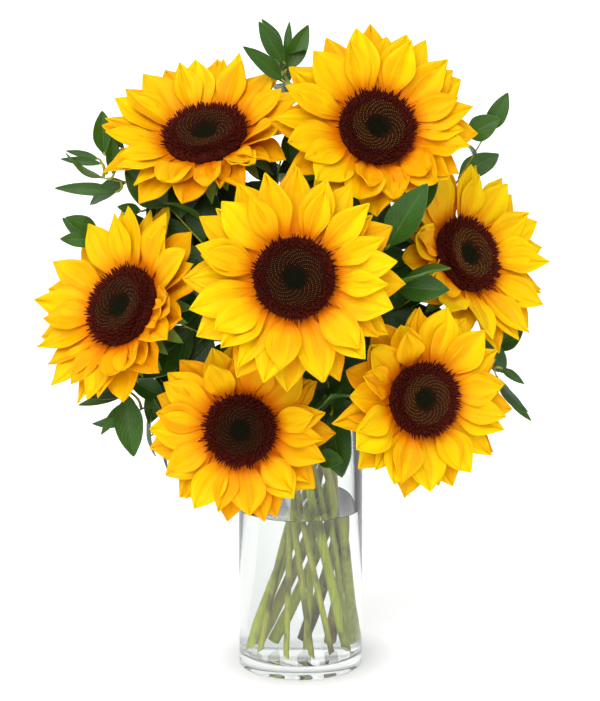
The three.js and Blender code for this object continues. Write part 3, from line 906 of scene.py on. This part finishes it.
def petal_material(colours):
    """Fine grooves and soft folds along a petal, the folds' hollows darker orange, partly its own streaks and
    partly painted shade; tone: how orange it is, which also carries painted shade on the back row, the
    fillers and the folded petals; own: its own pattern.
    """
    warm, groove_tint, streak_and_shade_tint = (0.97, 0.66, 0.5), (0.96, 0.84, 0.7), (0.97, 0.68, 0.4)
    groove_count, groove_sway, folds_across, folds_along, apart = 11, 0.08, 4.5, 1.1, 50.0
    material, tree = new_material("sunflower petal")
    along, across = uv_parts(tree)
    root, middle, tip = colours.root, colours.middle, colours.tip
    colour = ramp(tree, along, (0.0, root), (0.1, root), (0.36, middle), (1.0, tip))
    colour = tinted(tree, value_of(tree, "tone"), colour, warm)
    wobble = sum_of(tree, "MULTIPLY_ADD", mottle(tree, scale=220.0), groove_sway, across)
    lines = sum_of(tree, "SINE", times(tree, wobble, 2 * pi * groove_count))
    grooves = sum_of(tree, "MULTIPLY_ADD", lines, 0.5, 0.5)
    colour = tinted(tree, times(tree, grooves, 0.2), colour, groove_tint)
    own = times(tree, value_of(tree, "own"), apart)
    spot = vector(tree, times(tree, across, folds_across), times(tree, along, folds_along), own)
    fold = eased(tree, noise(tree, spot, 1.0, 1.5), 0.42, 0.68)
    # darker orange where the bump sinks into the soft folds: partly the petal's own streaks, partly painted
    # shade
    colour = tinted(tree, times(tree, fold, 0.7), colour, streak_and_shade_tint)
    relief = sum_of(tree, "MULTIPLY_ADD", grooves, 0.12, times(tree, fold, -1.0))
    normal = ("Normal", bump(tree, relief, 0.6, 0.0007))
    shader = principled(tree, colour, 0.5, 0.08, normal)
    surface(tree, thin(tree, shader, 0.28, colour, normal))
    return material


def disc_material(colours):
    """zone runs from 0 in the middle of the disc to 1 at its edge; tip from 0 to 1 up a floret."""
    none, full, painted_tip_light = (0, 0, 0), (1, 1, 1), (2.4, 2.0, 1.8)
    pollen_from, pollen_to, pollen_height = 0.36, 0.72, 0.8
    material, tree = new_material("seed disc")
    zone, tip = value_of(tree, "zone"), value_of(tree, "tip")
    ripe = blend(tree, value_of(tree, "ripe"), colours.brown, colours.ripe)
    base = blend(tree, ramp(tree, zone, (0.24, none), (0.4, full)), colours.core, ripe)
    base = blend(tree, ramp(tree, zone, (0.62, none), (0.78, full)), base, colours.fringe)
    # painted highlight: each floret is made lighter towards its tip
    colour = tinted(tree, sum_of(tree, "POWER", tip, 3.0), base, painted_tip_light)
    inner = sum_of(tree, "GREATER_THAN", zone, pollen_from)
    outer = sum_of(tree, "LESS_THAN", zone, pollen_to)
    dots = times(tree, times(tree, inner, outer), value_of(tree, "pollen"))
    top = sum_of(tree, "GREATER_THAN", tip, pollen_height)
    colour = blend(tree, times(tree, dots, top), colour, colours.pollen)
    surface(tree, principled(tree, colour, 0.75, 0.08))
    return material


def stem_material(name, green, brown):
    """brown: the point value that says how far a stem has gone from green to brown."""
    streak_tint, painted_patch_shade = (1.9, 1.7, 2.0), (0.3, 0.3, 0.2)
    material, tree = new_material(name)
    fibre = mottle(tree, scale=900.0, stretch=0.05, detail=3.0)
    brown_and_shade_patch = mottle(tree, scale=60.0, stretch=0.5)
    # the same patches set where a stem has gone brown, its own colour
    aged = times(tree, value_of(tree, "brown"), times(tree, brown_and_shade_patch, 1.6))
    colour = blend(tree, aged, green, brown)
    colour = tinted(tree, sum_of(tree, "MULTIPLY_ADD", fibre, 2.4, -0.7), colour, streak_tint)
    # painted shade: the darkest patches along a stem are darkened further, standing in for its light and
    # shade
    colour = tinted(tree, eased(tree, brown_and_shade_patch, 0.48, 0.66), colour, painted_patch_shade)
    normal = ("Normal", bump(tree, fibre, 0.4, 0.0005))
    surface(tree, principled(tree, colour, 0.45, 0.2, normal))
    return material


def cut_material(colour):
    material, tree = new_material("cut end")
    shade = tinted(tree, mottle(tree, scale=1800.0, detail=3.0), colour, (0.7, 0.7, 0.7))
    surface(tree, principled(tree, shade, 0.7, 0.5))
    return material


def leaf_material(name, upper, under, gloss, side_veins):
    """tone: how light a leaf is; its painted shade: how much darker it is made deep inside the bouquet;
    under: 1 on its lower side.
    """
    light_tint, painted_shade_tint = (2.2, 1.8, 1.5), (0.25, 0.2, 0.2)
    material, tree = new_material(name)
    along, across = uv_parts(tree)
    veins = grouped(tree, "blade veins", along=along, across=across, rib_width=0.035, side_veins=side_veins)
    top = blend(tree, mottle(tree, scale=150.0), [0.7 * c for c in upper], [1.3 * c for c in upper])
    top = blend(tree, times(tree, veins["Rib"], 0.6), top, under)
    top = blend(tree, times(tree, veins["Sides"], 0.2), top, under)
    colour = blend(tree, value_of(tree, "under"), top, under)
    colour = tinted(tree, value_of(tree, "tone"), colour, light_tint)
    # painted shade: leaves deep inside the bouquet are darkened
    colour = tinted(tree, value_of(tree, "deep"), colour, painted_shade_tint)
    relief = sum_of(tree, "MULTIPLY_ADD", veins["Sides"], 0.4, veins["Rib"])
    shader = principled(tree, colour, gloss, 0.3, ("Normal", bump(tree, relief, 0.5, 0.0004)))
    surface(tree, thin(tree, shader, 0.12, colour))
    return material


def clear_material(name, colour, ior, sheen, shade):
    """Clear glass or water that lets lamps shine through it; shade: how much its shadow keeps of them."""
    material, tree = new_material(name)
    shader = principled(tree, colour, 0.0, sheen, ("IOR", ior), ("Transmission Weight", 1.0))
    lit = node(tree, "ShaderNodeBsdfTransparent", ("Color", shade)).outputs[0]
    rays = node(tree, "ShaderNodeLightPath").outputs
    surface(tree, mixed(tree, rays["Is Shadow Ray"], shader, lit))
    return material


# ---------- vase and water ----------
def build_vase(sizes):
    radius, height, wall, floor = sizes.radius, sizes.height, sizes.wall, sizes.floor
    rim, foot, cove = 0.0008, 0.0022, 0.003
    vase = cylinder("glass_vase", 144, radius, 0, height)
    bpy.ops.mesh.inset(thickness=wall, depth=0)
    draw_out(floor - height)
    bevel_ring(vase, radius, height, rim, 3)
    bevel_ring(vase, radius - wall, height, rim, 3)
    bevel_ring(vase, radius, 0, foot, 4)
    bevel_ring(vase, radius - wall, floor, cove, 5)
    bpy.ops.mesh.select_mode(type="FACE")
    pick(vase, "faces", lambda f: f.normal.z < -0.999)
    for width, hollow in ((0.006, 0), (0.004, 0.0012)):
        bpy.ops.mesh.inset(thickness=width, depth=-hollow)
    end_edit()
    smooth(vase, 35)
    vase.data.materials.append(clear_material("clear glass", sizes.glass, **GLASS))
    finish_piece(vase, "vase_glass", "vase")


def build_water(sizes):
    """The water overlaps the glass by a hair, so that no air shows between them."""
    overlap, cove = 0.0001, 0.003
    radius = sizes.radius - sizes.wall + overlap
    bottom = sizes.floor - overlap
    water = cylinder("vase_water", 144, radius, bottom, sizes.water_level)
    for width, drop in ((0.0006, 0.0006), (0.0009, 0.0004)):
        bpy.ops.mesh.inset(thickness=width, depth=-drop)
    bevel_ring(water, radius, bottom, cove, 5)
    end_edit()
    smooth(water, 60)
    water.data.materials.append(clear_material("clear water", sizes.water, **WATER))
    finish_piece(water, "water", "water")


# ---------- flower heads ----------
def petal_master(name, outline, ridge, thickness):
    """A petal with two long ridges, a gutter between them and edges a little raised."""

    def profile(y):
        return ridge * (cos(2 * pi * y * 1.05) * -0.6 + 1.4 * abs(y) ** 1.5)

    return blade_master(name, outline, (22, 10), profile, thickness / PETAL["half"])


def free_form(draw, fold, front):
    """The differences between one petal and the next, wilder on the folded side of the head."""
    wild = 1 + 1.6 * fold
    return {
        "twist": 16 * wild * draw(),
        "sweep": 0.05 * wild * draw(),
        "tip_curl": (14 * draw() + 10 * front) * wild + 45 * fold * draw() + 18 * fold,
        "cup": 0.16 + 0.14 * draw() + 0.3 * fold,
        "ripple": 0.07 * wild * (1 + draw()),
        "phase": draw(),
    }


def petal_form(flower, angle, row, kind, draw):
    """A petal's place on the head, its form, and how far it lies on the folded side, from 0 to 1."""
    outer = flower["disc"] + PETAL["proud"]
    low = max(0, -sin(angle))
    lean = flower["cup"] - flower["sag"] * low + row["lean"] + kind["lean"] * draw()
    blade = {
        "half": PETAL["half"] * (kind["broad"] + kind["half"] * draw()),
        "length": (flower["head"] - outer) * row["share"] * (1 + kind["length"] * draw()),
        "curl": PETAL["curl"] + PETAL["curl_sway"] * draw(),
    }
    root = petal_place(angle, outer - PETAL["hidden"], row["height"], lean, kind["roll"] * draw())
    off = cos(angle - radians(flower["crumple"]))
    return root, blade, flower["fold"] * max(0.0, (off - 0.5) / 0.5)


def build_petals(name, flower, number, masters, material, form):
    vary, free = sway(101 + number), sway(1301 + number)
    start, count = radians(flower["turn"]), 2 * flower["petals"]
    place = head_place(flower)
    petals = Gathering()

    def lay(kind, i, root, blade, fold, warm):
        blade.update(free_form(free, fold, 1 - i % 2))
        master = masters[0] if free() > kind["narrow"] else masters[1]
        # tone: the head's own orange with a random spread, plus painted shade: more orange on folded petals
        # and, by the last argument, on the back row and the fillers
        tone = np.clip(flower["warm"] + kind["tone"] * free() + 0.5 * fold + warm, 0, 1)
        petals.add(master, bent_blade(master, blade, place @ root), tone=tone, own=i / 100)

    for i in range(count):
        angle = start + 2 * pi * (i + 0.5) / count + radians(PETAL["sway"] * vary())
        root, blade, fold = petal_form(flower, angle, PETAL_ROWS[i % 2], MAIN, vary)
        blade["length"] = (blade["length"] + PETAL["hidden"]) * (1 - MAIN["shrink"] * fold)
        blade["half"] *= PETAL["broad"] + PETAL["broad_sway"] * free()
        # the back row gets painted shade
        lay(MAIN, i, root, blade, fold, 0.35 * (i % 2))
    for i in range(form.fillers):
        angle = start + 2 * pi * (i + 0.5 + 0.35 * free()) / form.fillers
        root, blade, fold = petal_form(flower, angle, FILLER_ROWS[i % 2], FILLER, free)
        blade["length"] = blade["length"] * (1 - FILLER["shrink"] * fold) + PETAL["hidden"]
        # the fillers get painted shade
        lay(FILLER, i, root, blade, fold, 0.15)
    piece = petals.piece(f"ray_petals_{name}", material)
    smooth(piece, 55)
    finish_piece(piece, "petals", f"petals_{name}")


def floret_master(name, sides, waist, belly, top):
    """A floret one unit tall, standing on the origin: a stub that swells, then closes to a tip.
    waist, belly and top are its radii."""
    belly_height, top_height, tip_share = 0.62, 0.9, 0.3
    deselect_all()
    bpy.ops.mesh.primitive_cone_add(
        vertices=sides, radius1=waist, radius2=belly, depth=belly_height,
        location=(0, 0, belly_height / 2),
    )
    piece = added(name)
    start_edit(piece)
    pick(piece, "faces", lambda f: f.normal.z > 0.9)
    draw_out(top_height - belly_height, top / belly, top_height)
    draw_out(1 - top_height, tip_share, 1)
    pick(piece, "faces", lambda f: f.normal.z < -0.9)
    bpy.ops.mesh.delete(type="ONLY_FACE")
    end_edit()
    return Master(piece, tip=np.array([v.co.z for v in piece.data.vertices]))


def dome_height(share):
    return float(through(DOME, np.array([share]))[0])


def dome(flower):
    """The disc's own body, which the florets' feet are sunk in."""
    radius, sunk = flower["disc"], 0.0022
    share, height = 1.0, 0.0025
    piece = cylinder("disc body", 48, radius - 0.001, -0.0015, height)
    for step in (0.93, 0.82, 0.7, 0.56, 0.42, 0.28, 0.14):
        target = dome_height(step) - sunk
        bpy.ops.mesh.inset(thickness=(share - step) * radius, depth=target - height)
        share, height = step, target
    end_edit()
    return piece


def floret(share, free):
    """What stands at a share of the disc's radius: the floret's kind, height, width and lean."""
    if share > FRINGE_START:
        edge = (share - FRINGE_START) / (1 - FRINGE_START)
        tall = 0.0040 + 0.0014 * edge + 0.0015 * free()
        return "spike floret", tall, 0.0040, 8 + 44 * edge + 18 * free()
    if share > CORE_END:
        return "stub floret", 0.0030 + 0.0004 * free(), 0.0027, 20 * (share - 0.5) + 4 * free()
    return "bud floret", 0.0026 + 0.0003 * free(), 0.0027, -12 * (CORE_END - share)


def build_disc(name, flower, number, masters, material, form):
    """Florets in a spiral, a quarter of them left out at the very edge; pollen on every other one."""
    free = sway(701 + number)
    radius, ripe = flower["disc"], flower["ripe"]
    reach, sunk, thin_from, left_out = 0.92, 0.0027, 0.9, 0.45
    place = head_place(flower)
    disc = Gathering()
    body = Master(dome(flower), tip=0)
    body.values["zone"] = np.linalg.norm(body.points[:, :2], axis=1) / radius
    disc.add(body, moved(body.points, place), pollen=0, ripe=0)
    for i in range(form.florets):
        share = sqrt((i + 0.5) / form.florets)
        angle = i * GOLDEN_ANGLE
        kind, tall, wide, lean = floret(share, free)
        master = masters[kind]
        outward = Vector((cos(angle), sin(angle), 0))
        spin = Matrix.Rotation(radians(lean), 3, UP.cross(outward)) @ Matrix.Rotation(angle, 3, "Z")
        foot = outward * share * reach * radius
        foot.z = dome_height(share) - sunk
        stand = Matrix.Translation(foot) @ (spin @ Matrix.Diagonal((wide, wide, tall))).to_4x4()
        if share > thin_from and free() > left_out:
            continue
        bare = i * 21 % 34 % 2
        pollen = (0.3 + 0.7 * ripe) * (0.75 + 0.25 * free()) * (1 - 0.95 * bare)
        disc.add(
            master, moved(master.points, place @ stand), zone=share + 0.04 * free(), pollen=pollen,
            ripe=ripe + 0.2 * free(),
        )
    piece = disc.piece(f"seed_disc_{name}", material)
    smooth(piece, 70)
    finish_piece(piece, "discs", f"disc_{name}")


# ---------- stems ----------
def stem_radius(base, draw):
    """Radius along a stem: a little thicker towards the head, with a few low knots."""
    knots = [(0.3 + 0.1 * draw(), 0.10), (0.6 + 0.12 * draw(), 0.07)]
    reach = 0.012

    def radius_at(t):
        swell = sum(size * exp(-(((t - at) / reach) ** 2)) for at, size in knots)
        return base * (0.94 + 0.12 * t + swell)

    return radius_at


def cup_piece(flower):
    """The green cup behind a head, facing +Z under the disc's centre."""
    radius, now, height = flower["disc"], flower["stalk"] + 0.0008, CUP["neck"]
    rings = [
        (0.0042, -0.0175), (0.0085, -0.0145), (radius - 0.0075, -0.0118), (radius - 0.003, CUP["flare"]),
        (radius - 0.001, CUP["shoulder"] - 0.001), (radius - 0.004, CUP["top"]),
    ]
    piece = cylinder("cup", 36, now, height - 0.004, height)
    for ring, rise in rings:
        draw_out(rise - height, ring / now, rise)
        now, height = ring, rise
    end_edit()
    return piece


def build_stem(name, flower, number, bract, materials):
    free = sway(501 + number)
    place = head_place(flower)
    behind = [place @ Vector((0, 0, -distance)) for distance in (0.040, 0.012)]
    route = stem_route(flower["foot"], flower["waist"], *flower["stem"], *behind)
    stalk = tube("stalk", route, stem_radius(flower["stalk"], free), 60, 5, materials)
    slant_cut(stalk, flower["foot"], number)
    set_value(stalk, "brown", flower["brown"])
    cup = Gathering()
    shell = Master(cup_piece(flower), under=1)
    cup.add(shell, moved(shell.points, place), tone=0.3)
    for i in range(2 * BRACT["count"]):
        row = BRACT_ROWS[i // BRACT["count"]]
        angle = 2 * pi * (i + row["turn"]) / BRACT["count"]
        lean, height = row["lift"] + 4 * free(), CUP["bracts"] + row["height"]
        root = petal_place(angle, flower["disc"] - BRACT["root"], height, lean, 5 * free())
        blade = {
            "length": (BRACT["length"] * row["share"] + 0.0015) * (1 + 0.08 * free()),
            "half": BRACT["half"], "curl": BRACT["curl"], "tip_curl": -18 + 14 * free(), "cup": 0.25,
            "twist": 10 * free(), "sweep": 0.05 * free(),
        }
        cup.add(bract, bent_blade(bract, blade, place @ root), tone=0.35 + 0.25 * free())
    piece = join(f"stalk_{name}", stalk, cup.piece("cup and bracts", materials[2]))
    smooth(piece, 50)
    finish_piece(piece, "stems", f"stem_{name}")


# ---------- leafy sprigs ----------
def tapered(name, route, wood, materials):
    """A sprig's stem, twig or stalk, thinner towards its end."""
    loss = wood["start"] - wood["end"]
    return tube(name, route, lambda t: wood["start"] - loss * t, wood["steps"], wood["roundness"], materials)


def leaf_place(route, t, angle):
    along = route.way(t)
    out = UP.cross(along).normalized()
    out.rotate(Matrix.Rotation(angle, 3, along))
    lean = radians(LEAF["tip_lean"] if t > 0.999 else LEAF["lean"])
    way = along * cos(lean) + out * sin(lean)
    up = along * sin(lean) - out * cos(lean)
    return axes(way, up, route.at(t))


def leaf_tip(place, length):
    """Where the curled leaf ends."""
    turn = radians(LEAF["curl"])
    return place @ Vector((sin(turn) / turn * length, 0, (1 - cos(turn)) / turn * length))


def corners_of(node_name):
    """The corners of one of the frame's nodes, ready to be asked for the nearest."""
    points = frame["nodes"][node_name].data.vertices
    tree = kdtree.KDTree(len(points))
    for i, point in enumerate(points):
        tree.insert(point.co, i)
    tree.balance()
    return tree


def share_of(twig, i):
    """Where along a twig its leaf i stands."""
    return twig["bare"] + (1 - twig["bare"]) * i / (twig["leaves"] - 1)


def leaves_on(route, twig, seed, corners):
    """Each leaf stands where the frame's sprig holds its tip, or isn't there."""
    draw = sway(seed)
    near, end_size = 0.0006, 0.85
    for i in range(twig["leaves"]):
        angle = radians(twig["turn"] + 204 * i + 15 * draw())
        size = twig["length"] * (1 + 0.12 * draw()) * (end_size if i == twig["leaves"] - 1 else 1)
        for turn, share in LEAF_TRIES:
            place = leaf_place(route, share_of(twig, i), angle + radians(turn))
            if corners.find(leaf_tip(place, size * share))[2] < near:
                yield place, size * share
                break


def facing(way, front, origin):
    """Place of a leaf that points one way, its upper face turned to the front."""
    return axes(way, (front - way * front.dot(way)).normalized(), origin)


def spray_place(route, t, side, free):
    """Place of a leaf in a flat spray: its upper face looks out of the bouquet's front."""
    along = route.way(t)
    front = Vector((0.5 * free(), -1, 0.3 + 0.3 * free())).normalized()
    beside = along.cross(front).normalized() * side
    lean = radians(8 if t > 0.999 else 52 + 16 * free())
    return facing(along * cos(lean) + beside * sin(lean), front, route.at(t))


def leaf_form(length, aspect, free):
    return {
        "length": length, "half": length * aspect / 2, "curl": LEAF["curl"], "tip_curl": 12 * free(),
        "cup": 0.12 + 0.1 * free(), "ripple": 0.05, "phase": free(), "sweep": 0.03 * free(),
        "twist": 8 * free(),
    }


def cuts(points, master, flowers):
    """Whether a leaf would cut through a flower."""
    shape = BVHTree.FromPolygons(points.tolist(), master.faces)
    return any(shape.overlap(flower) for flower in flowers)


def large_leaf(leaf, root, tip, half, free, flowers):
    """A leaf from root to tip, its upper face to the front, moved back until it cuts no flower."""
    root, tip = Vector(root), Vector(tip)
    for back in (0, 0.005, -0.006, 0.012, 0.02, 0.03):
        shift = Vector((0, back, 0))
        way = (tip - root).normalized()
        front = Vector((0.35 * free(), -1, 0.35)).normalized()
        form = {
            "length": (tip - root).length * 1.02, "half": half, "curl": -12, "tip_curl": -10 * free(),
            "cup": 0.22, "ripple": 0.05, "phase": free(), "sweep": 0.06 * free(), "twist": 10 * free(),
        }
        points = bent_blade(leaf, form, facing(way, front, root + shift))
        if not cuts(points, leaf, flowers):
            return points, root + shift, way
    return None


def stalk_to(root, way, routes):
    """A thin stalk from the nearest place on the sprig's upper twigs to a leaf's root."""
    low_end, samples, level, sag, hold = 0.4, 30, 0.4, 0.15, 0.002
    shares = [low_end + (1 - low_end) * i / samples for i in range(samples + 1)]
    places = [route.at(share) for route in routes for share in shares]
    start = min(places, key=lambda place: (place - root).length + level * abs(place.z - root.z))
    middle = (start + root) / 2 - way * sag * (root - start).length
    return Route(start, middle, root, root + way * hold)


def flower_shapes():
    """The flowers' surfaces, for finding out whether a leaf would cut through them."""
    graph = bpy.context.evaluated_depsgraph_get()
    kinds = ("ray_petals_", "seed_disc_", "stalk_")
    return [BVHTree.FromObject(o, graph) for o in bpy.data.objects if o.name.startswith(kinds)]


def spray_leaves(leaves, leaf, route, shoot, aspect, free, flowers):
    """Leaves to either side of a shoot; one that would cut through a flower is smaller or left off."""
    for i in range(shoot["leaves"]):
        place = spray_place(route, share_of(shoot, i), 1 - 2 * (i % 2), free)
        form = leaf_form(shoot["length"] * (1 + 0.15 * free()), aspect, free)
        tone = max(0, 0.1 + 0.3 * free())
        for share in (1, 0.8, 0.62, 0.45):
            sized = {**form, "length": form["length"] * share, "half": form["half"] * share}
            points = bent_blade(leaf, sized, place)
            if not cuts(points, leaf, flowers):
                # the shoot's painted shade goes on its leaves
                leaves.add(leaf, points, tone=tone, deep=shoot["deep"])
                break


def build_sprig(name, parts, number, leaf, materials, flowers):
    free = sway(901 + number)
    aspect = parts["aspect"]
    corners = corners_of(f"sprig_{name}")
    route = stem_route(parts["foot"], parts["waist"], parts["fork"])
    wood, routes = [tapered("sprig stalk", route, SPRIG_STEM, materials)], []
    slant_cut(wood[0], parts["foot"], 3 * number)
    leaves = Gathering()

    def branch(kind, size, path):
        way = Route(route.at(TWIG_START), parts["fork"], *path)
        routes.append(way)
        wood.append(tapered(kind, way, size, materials))
        return way

    for k, growth in enumerate(parts["twigs"]):
        way = branch("twig", TWIG, growth["path"])
        for place, length in leaves_on(way, growth, 301 + 10 * number + k, corners):
            blade = leaf_form(length, aspect, free)
            leaves.add(leaf, bent_blade(leaf, blade, place), tone=max(0, 0.1 + 0.25 * free()), deep=0)
    for growth in parts["shoots"]:
        way = branch("shoot", SHOOT, growth["path"])
        spray_leaves(leaves, leaf, way, growth, aspect, free, flowers)
    for root, tip, half in parts["large"]:
        grown = large_leaf(leaf, root, tip, half, free, flowers)
        if grown:
            points, root, way = grown
            leaves.add(leaf, points, tone=0.25 + 0.2 * free(), deep=0)
            wood.append(tapered("leaf stalk", stalk_to(root, way, routes), LEAF_STALK, materials))
    for piece in wood:
        set_value(piece, "brown", WOOD_BROWN)
    piece = join(f"leafy_sprig_{name}", *wood, leaves.piece("leaves", materials[2]))
    smooth(piece, 50)
    finish_piece(piece, "leaves", f"sprig_{name}")
    return len(leaves.points)


# ---------- stage ----------
def build_floor(stage):
    """Pale floor with a soft glow of its own, which fades out under the vase as a painted soft contact
    shadow.
    """
    glow_from, glow_to, near_glow, far_glow = 0.043, 0.09, 0.05, 0.34
    deselect_all()
    bpy.ops.mesh.primitive_grid_add(x_subdivisions=6, y_subdivisions=6, size=stage.floor_size)
    floor = added("pale_floor")
    material, tree = new_material("pale floor")
    away = node(tree, "ShaderNodeVectorMath", (0, object_place(tree)), operation="LENGTH").outputs["Value"]
    # painted shadow: the glow fades out near the vase, which leaves a soft contact shadow round its foot
    glow = eased(tree, away, glow_from, glow_to, near_glow, far_glow)
    links = ("Emission Color", (1, 1, 1)), ("Emission Strength", glow)
    surface(tree, principled(tree, stage.floor, 0.6, 0.2, *links))
    floor.data.materials.append(material)
    floor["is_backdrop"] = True


def build_sky(stage):
    """White light from all round, a little dimmer low down in front and at the sides, so that glass
    is clear in the middle and shows its edges. Only as light on dull surfaces is it as weak as the
    stage says; the camera sees plain white."""
    side_loss, front_loss = -0.2, -0.4
    world = bpy.data.worlds.new("soft studio")
    bpy.context.scene.world = world
    world.use_nodes = True
    tree = world.node_tree
    tree.nodes.clear()
    parts = parts_of(tree, node(tree, "ShaderNodeTexCoord").outputs["Generated"])
    low = sum_of(tree, "MAXIMUM", sum_of(tree, "MULTIPLY_ADD", parts["Z"], -2.2, 1.0), 0.0)
    side = times(tree, sum_of(tree, "POWER", sum_of(tree, "ABSOLUTE", parts["X"]), 3.0), low)
    front = times(tree, sum_of(tree, "MAXIMUM", times(tree, parts["Y"], -1.0), 0.0), low)
    dimmed = sum_of(tree, "MULTIPLY_ADD", front, front_loss, 1.0)
    light = sum_of(tree, "MULTIPLY_ADD", side, side_loss, dimmed)
    rays = node(tree, "ShaderNodeLightPath").outputs
    strength = sum_of(tree, "MULTIPLY_ADD", rays["Is Diffuse Ray"], stage.sky - 1.0, 1.0)
    soft = node(tree, "ShaderNodeBackground", ("Color", light), ("Strength", strength)).outputs[0]
    plain = node(tree, "ShaderNodeBackground", ("Color", (1, 1, 1)), ("Strength", 1.0)).outputs[0]
    node(tree, "ShaderNodeOutputWorld", ("Surface", mixed(tree, rays["Is Camera Ray"], soft, plain)))


def build_key(stage):
    down, turn, spread = radians(48), radians(-16), radians(56)
    bpy.ops.object.light_add(type="SUN", rotation=(down, 0, turn))
    lamp = bpy.context.object
    lamp.name = "soft_key"
    lamp.data.energy = stage.key
    lamp.data.angle = spread


def build_camera(stage):
    turn = (pi / 2 - stage.camera_down, 0, 0)
    bpy.ops.object.camera_add(location=stage.camera_place, rotation=turn)
    camera = bpy.context.object
    camera.name = "photo_camera"
    camera.data.lens = stage.lens
    camera.data.sensor_width = 36
    camera.data.clip_end = 100
    bpy.context.scene.camera = camera


# ---------- operators ----------
class SUNFLOWERS_OT_stage(bpy.types.Operator):
    """Pale floor, soft light and the camera"""

    bl_idname = "sunflowers.stage"
    bl_label = "Stage"

    def execute(self, context):
        deselect_all()
        for build in (build_floor, build_sky, build_key, build_camera):
            build(context.scene.sunflower_stage)
        context.scene.view_settings.view_transform = "Standard"
        return {"FINISHED"}


class SUNFLOWERS_OT_groups(bpy.types.Operator):
    """Shader node groups that several materials share"""

    bl_idname = "sunflowers.groups"
    bl_label = "Shared Effects"

    def execute(self, context):
        vein_group()
        mottle_group()
        return {"FINISHED"}


class SUNFLOWERS_OT_vase(bpy.types.Operator):
    """Clear glass vase and the water in it"""

    bl_idname = "sunflowers.vase"
    bl_label = "Vase and Water"

    def execute(self, context):
        sizes = context.scene.sunflower_vase
        if sizes.water_level >= sizes.height:
            raise ValueError("the water stands higher than the vase")
        build_vase(sizes)
        build_water(sizes)
        return {"FINISHED"}


class SUNFLOWERS_OT_petals(bpy.types.Operator):
    """Petals of the seven heads"""

    bl_idname = "sunflowers.petals"
    bl_label = "Petals"

    def execute(self, context):
        form = context.scene.sunflower_petals
        masters = [
            petal_master("broad petal", PETAL_OUTLINE, form.ridge, form.thickness),
            petal_master("narrow petal", NARROW_OUTLINE, 1.7 * form.ridge, form.thickness),
        ]
        material = petal_material(form)
        for number, (name, flower) in enumerate(SUNFLOWERS.items()):
            build_petals(name, flower, number, masters, material, form)
        return {"FINISHED"}


class SUNFLOWERS_OT_discs(bpy.types.Operator):
    """Seed discs with their florets"""

    bl_idname = "sunflowers.discs"
    bl_label = "Seed Discs"

    def execute(self, context):
        form = context.scene.sunflower_discs
        masters = {kind: floret_master(kind, *sizes) for kind, sizes in FLORETS.items()}
        material = disc_material(form)
        for number, (name, flower) in enumerate(SUNFLOWERS.items()):
            build_disc(name, flower, number, masters, material, form)
        return {"FINISHED"}


class SUNFLOWERS_OT_stems(bpy.types.Operator):
    """Flower stems with the green cups behind the heads"""

    bl_idname = "sunflowers.stems"
    bl_label = "Stems"

    def execute(self, context):
        green = context.scene.sunflower_green
        bract = blade_master("bract", BRACT_OUTLINE, (10, 4), lambda y: BRACT["keel"] * abs(y), 0.12)
        materials = [
            stem_material("flower stem", green.stem, green.stem_brown),
            cut_material(green.cut),
            leaf_material("bract green", green.bract, green.leaf_under, 0.55, 4.0),
        ]
        for number, (name, flower) in enumerate(SUNFLOWERS.items()):
            build_stem(name, flower, number, bract, materials)
        return {"FINISHED"}


class SUNFLOWERS_OT_sprigs(bpy.types.Operator):
    """Leafy sprigs between the flowers"""

    bl_idname = "sunflowers.sprigs"
    bl_label = "Leafy Sprigs"

    def execute(self, context):
        green = context.scene.sunflower_green
        leaf = blade_master("leaf", LEAF_OUTLINE, (16, 8), lambda y: LEAF["keel"] * abs(y), 0.07)
        materials = [
            bpy.data.materials["flower stem"],
            bpy.data.materials["cut end"],
            leaf_material("glossy leaf", green.leaf, green.leaf_under, 0.34, 8.0),
        ]
        flowers = flower_shapes()
        for number, (name, parts) in enumerate(SPRIGS.items()):
            if build_sprig(name, parts, number, leaf, materials, flowers) == 0:
                raise RuntimeError(f"no leaf found its place on sprig {name}")
        return {"FINISHED"}


OPERATORS = (
    SUNFLOWERS_OT_stage, SUNFLOWERS_OT_groups, SUNFLOWERS_OT_vase, SUNFLOWERS_OT_petals,
    SUNFLOWERS_OT_discs, SUNFLOWERS_OT_stems, SUNFLOWERS_OT_sprigs,
)
SETTINGS = {
    "sunflower_stage": StageSettings,
    "sunflower_vase": VaseSettings,
    "sunflower_petals": PetalSettings,
    "sunflower_discs": DiscSettings,
    "sunflower_green": GreenSettings,
}


class SUNFLOWERS_PT_panel(bpy.types.Panel):
    """Lists the settings and the steps of the bouquet"""

    bl_label = "Sunflowers in a Vase"
    bl_idname = "SUNFLOWERS_PT_panel"
    bl_space_type = "VIEW_3D"
    bl_region_type = "UI"
    bl_category = "Sunflowers"

    def draw(self, context):
        for name, group in SETTINGS.items():
            box = self.layout.box()
            box.label(text=group.__doc__)
            for setting in group.__annotations__:
                box.prop(getattr(context.scene, name), setting)
        for operator in OPERATORS:
            self.layout.operator(operator.bl_idname)


CLASSES = (*SETTINGS.values(), *OPERATORS, SUNFLOWERS_PT_panel)


def register():
    for part in CLASSES:
        bpy.utils.register_class(part)
    for name, group in SETTINGS.items():
        setattr(bpy.types.Scene, name, PointerProperty(type=group))


def unregister():
    for name in SETTINGS:
        delattr(bpy.types.Scene, name)
    for part in reversed(CLASSES):
        bpy.utils.unregister_class(part)


def write_sizes():
    boxes = {"cad": CAD_BOX, "visual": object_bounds()}
    plain = {name: [list(corner) for corner in box] for name, box in boxes.items()}


def main():
    register()
    bpy.ops.sunflowers.stage()
    bpy.ops.sunflowers.groups()
    bpy.ops.sunflowers.vase()
    bpy.ops.sunflowers.petals()
    bpy.ops.sunflowers.discs()
    bpy.ops.sunflowers.stems()
    bpy.ops.sunflowers.sprigs()
    write_sizes()


if __name__ == "__main__":
    main()
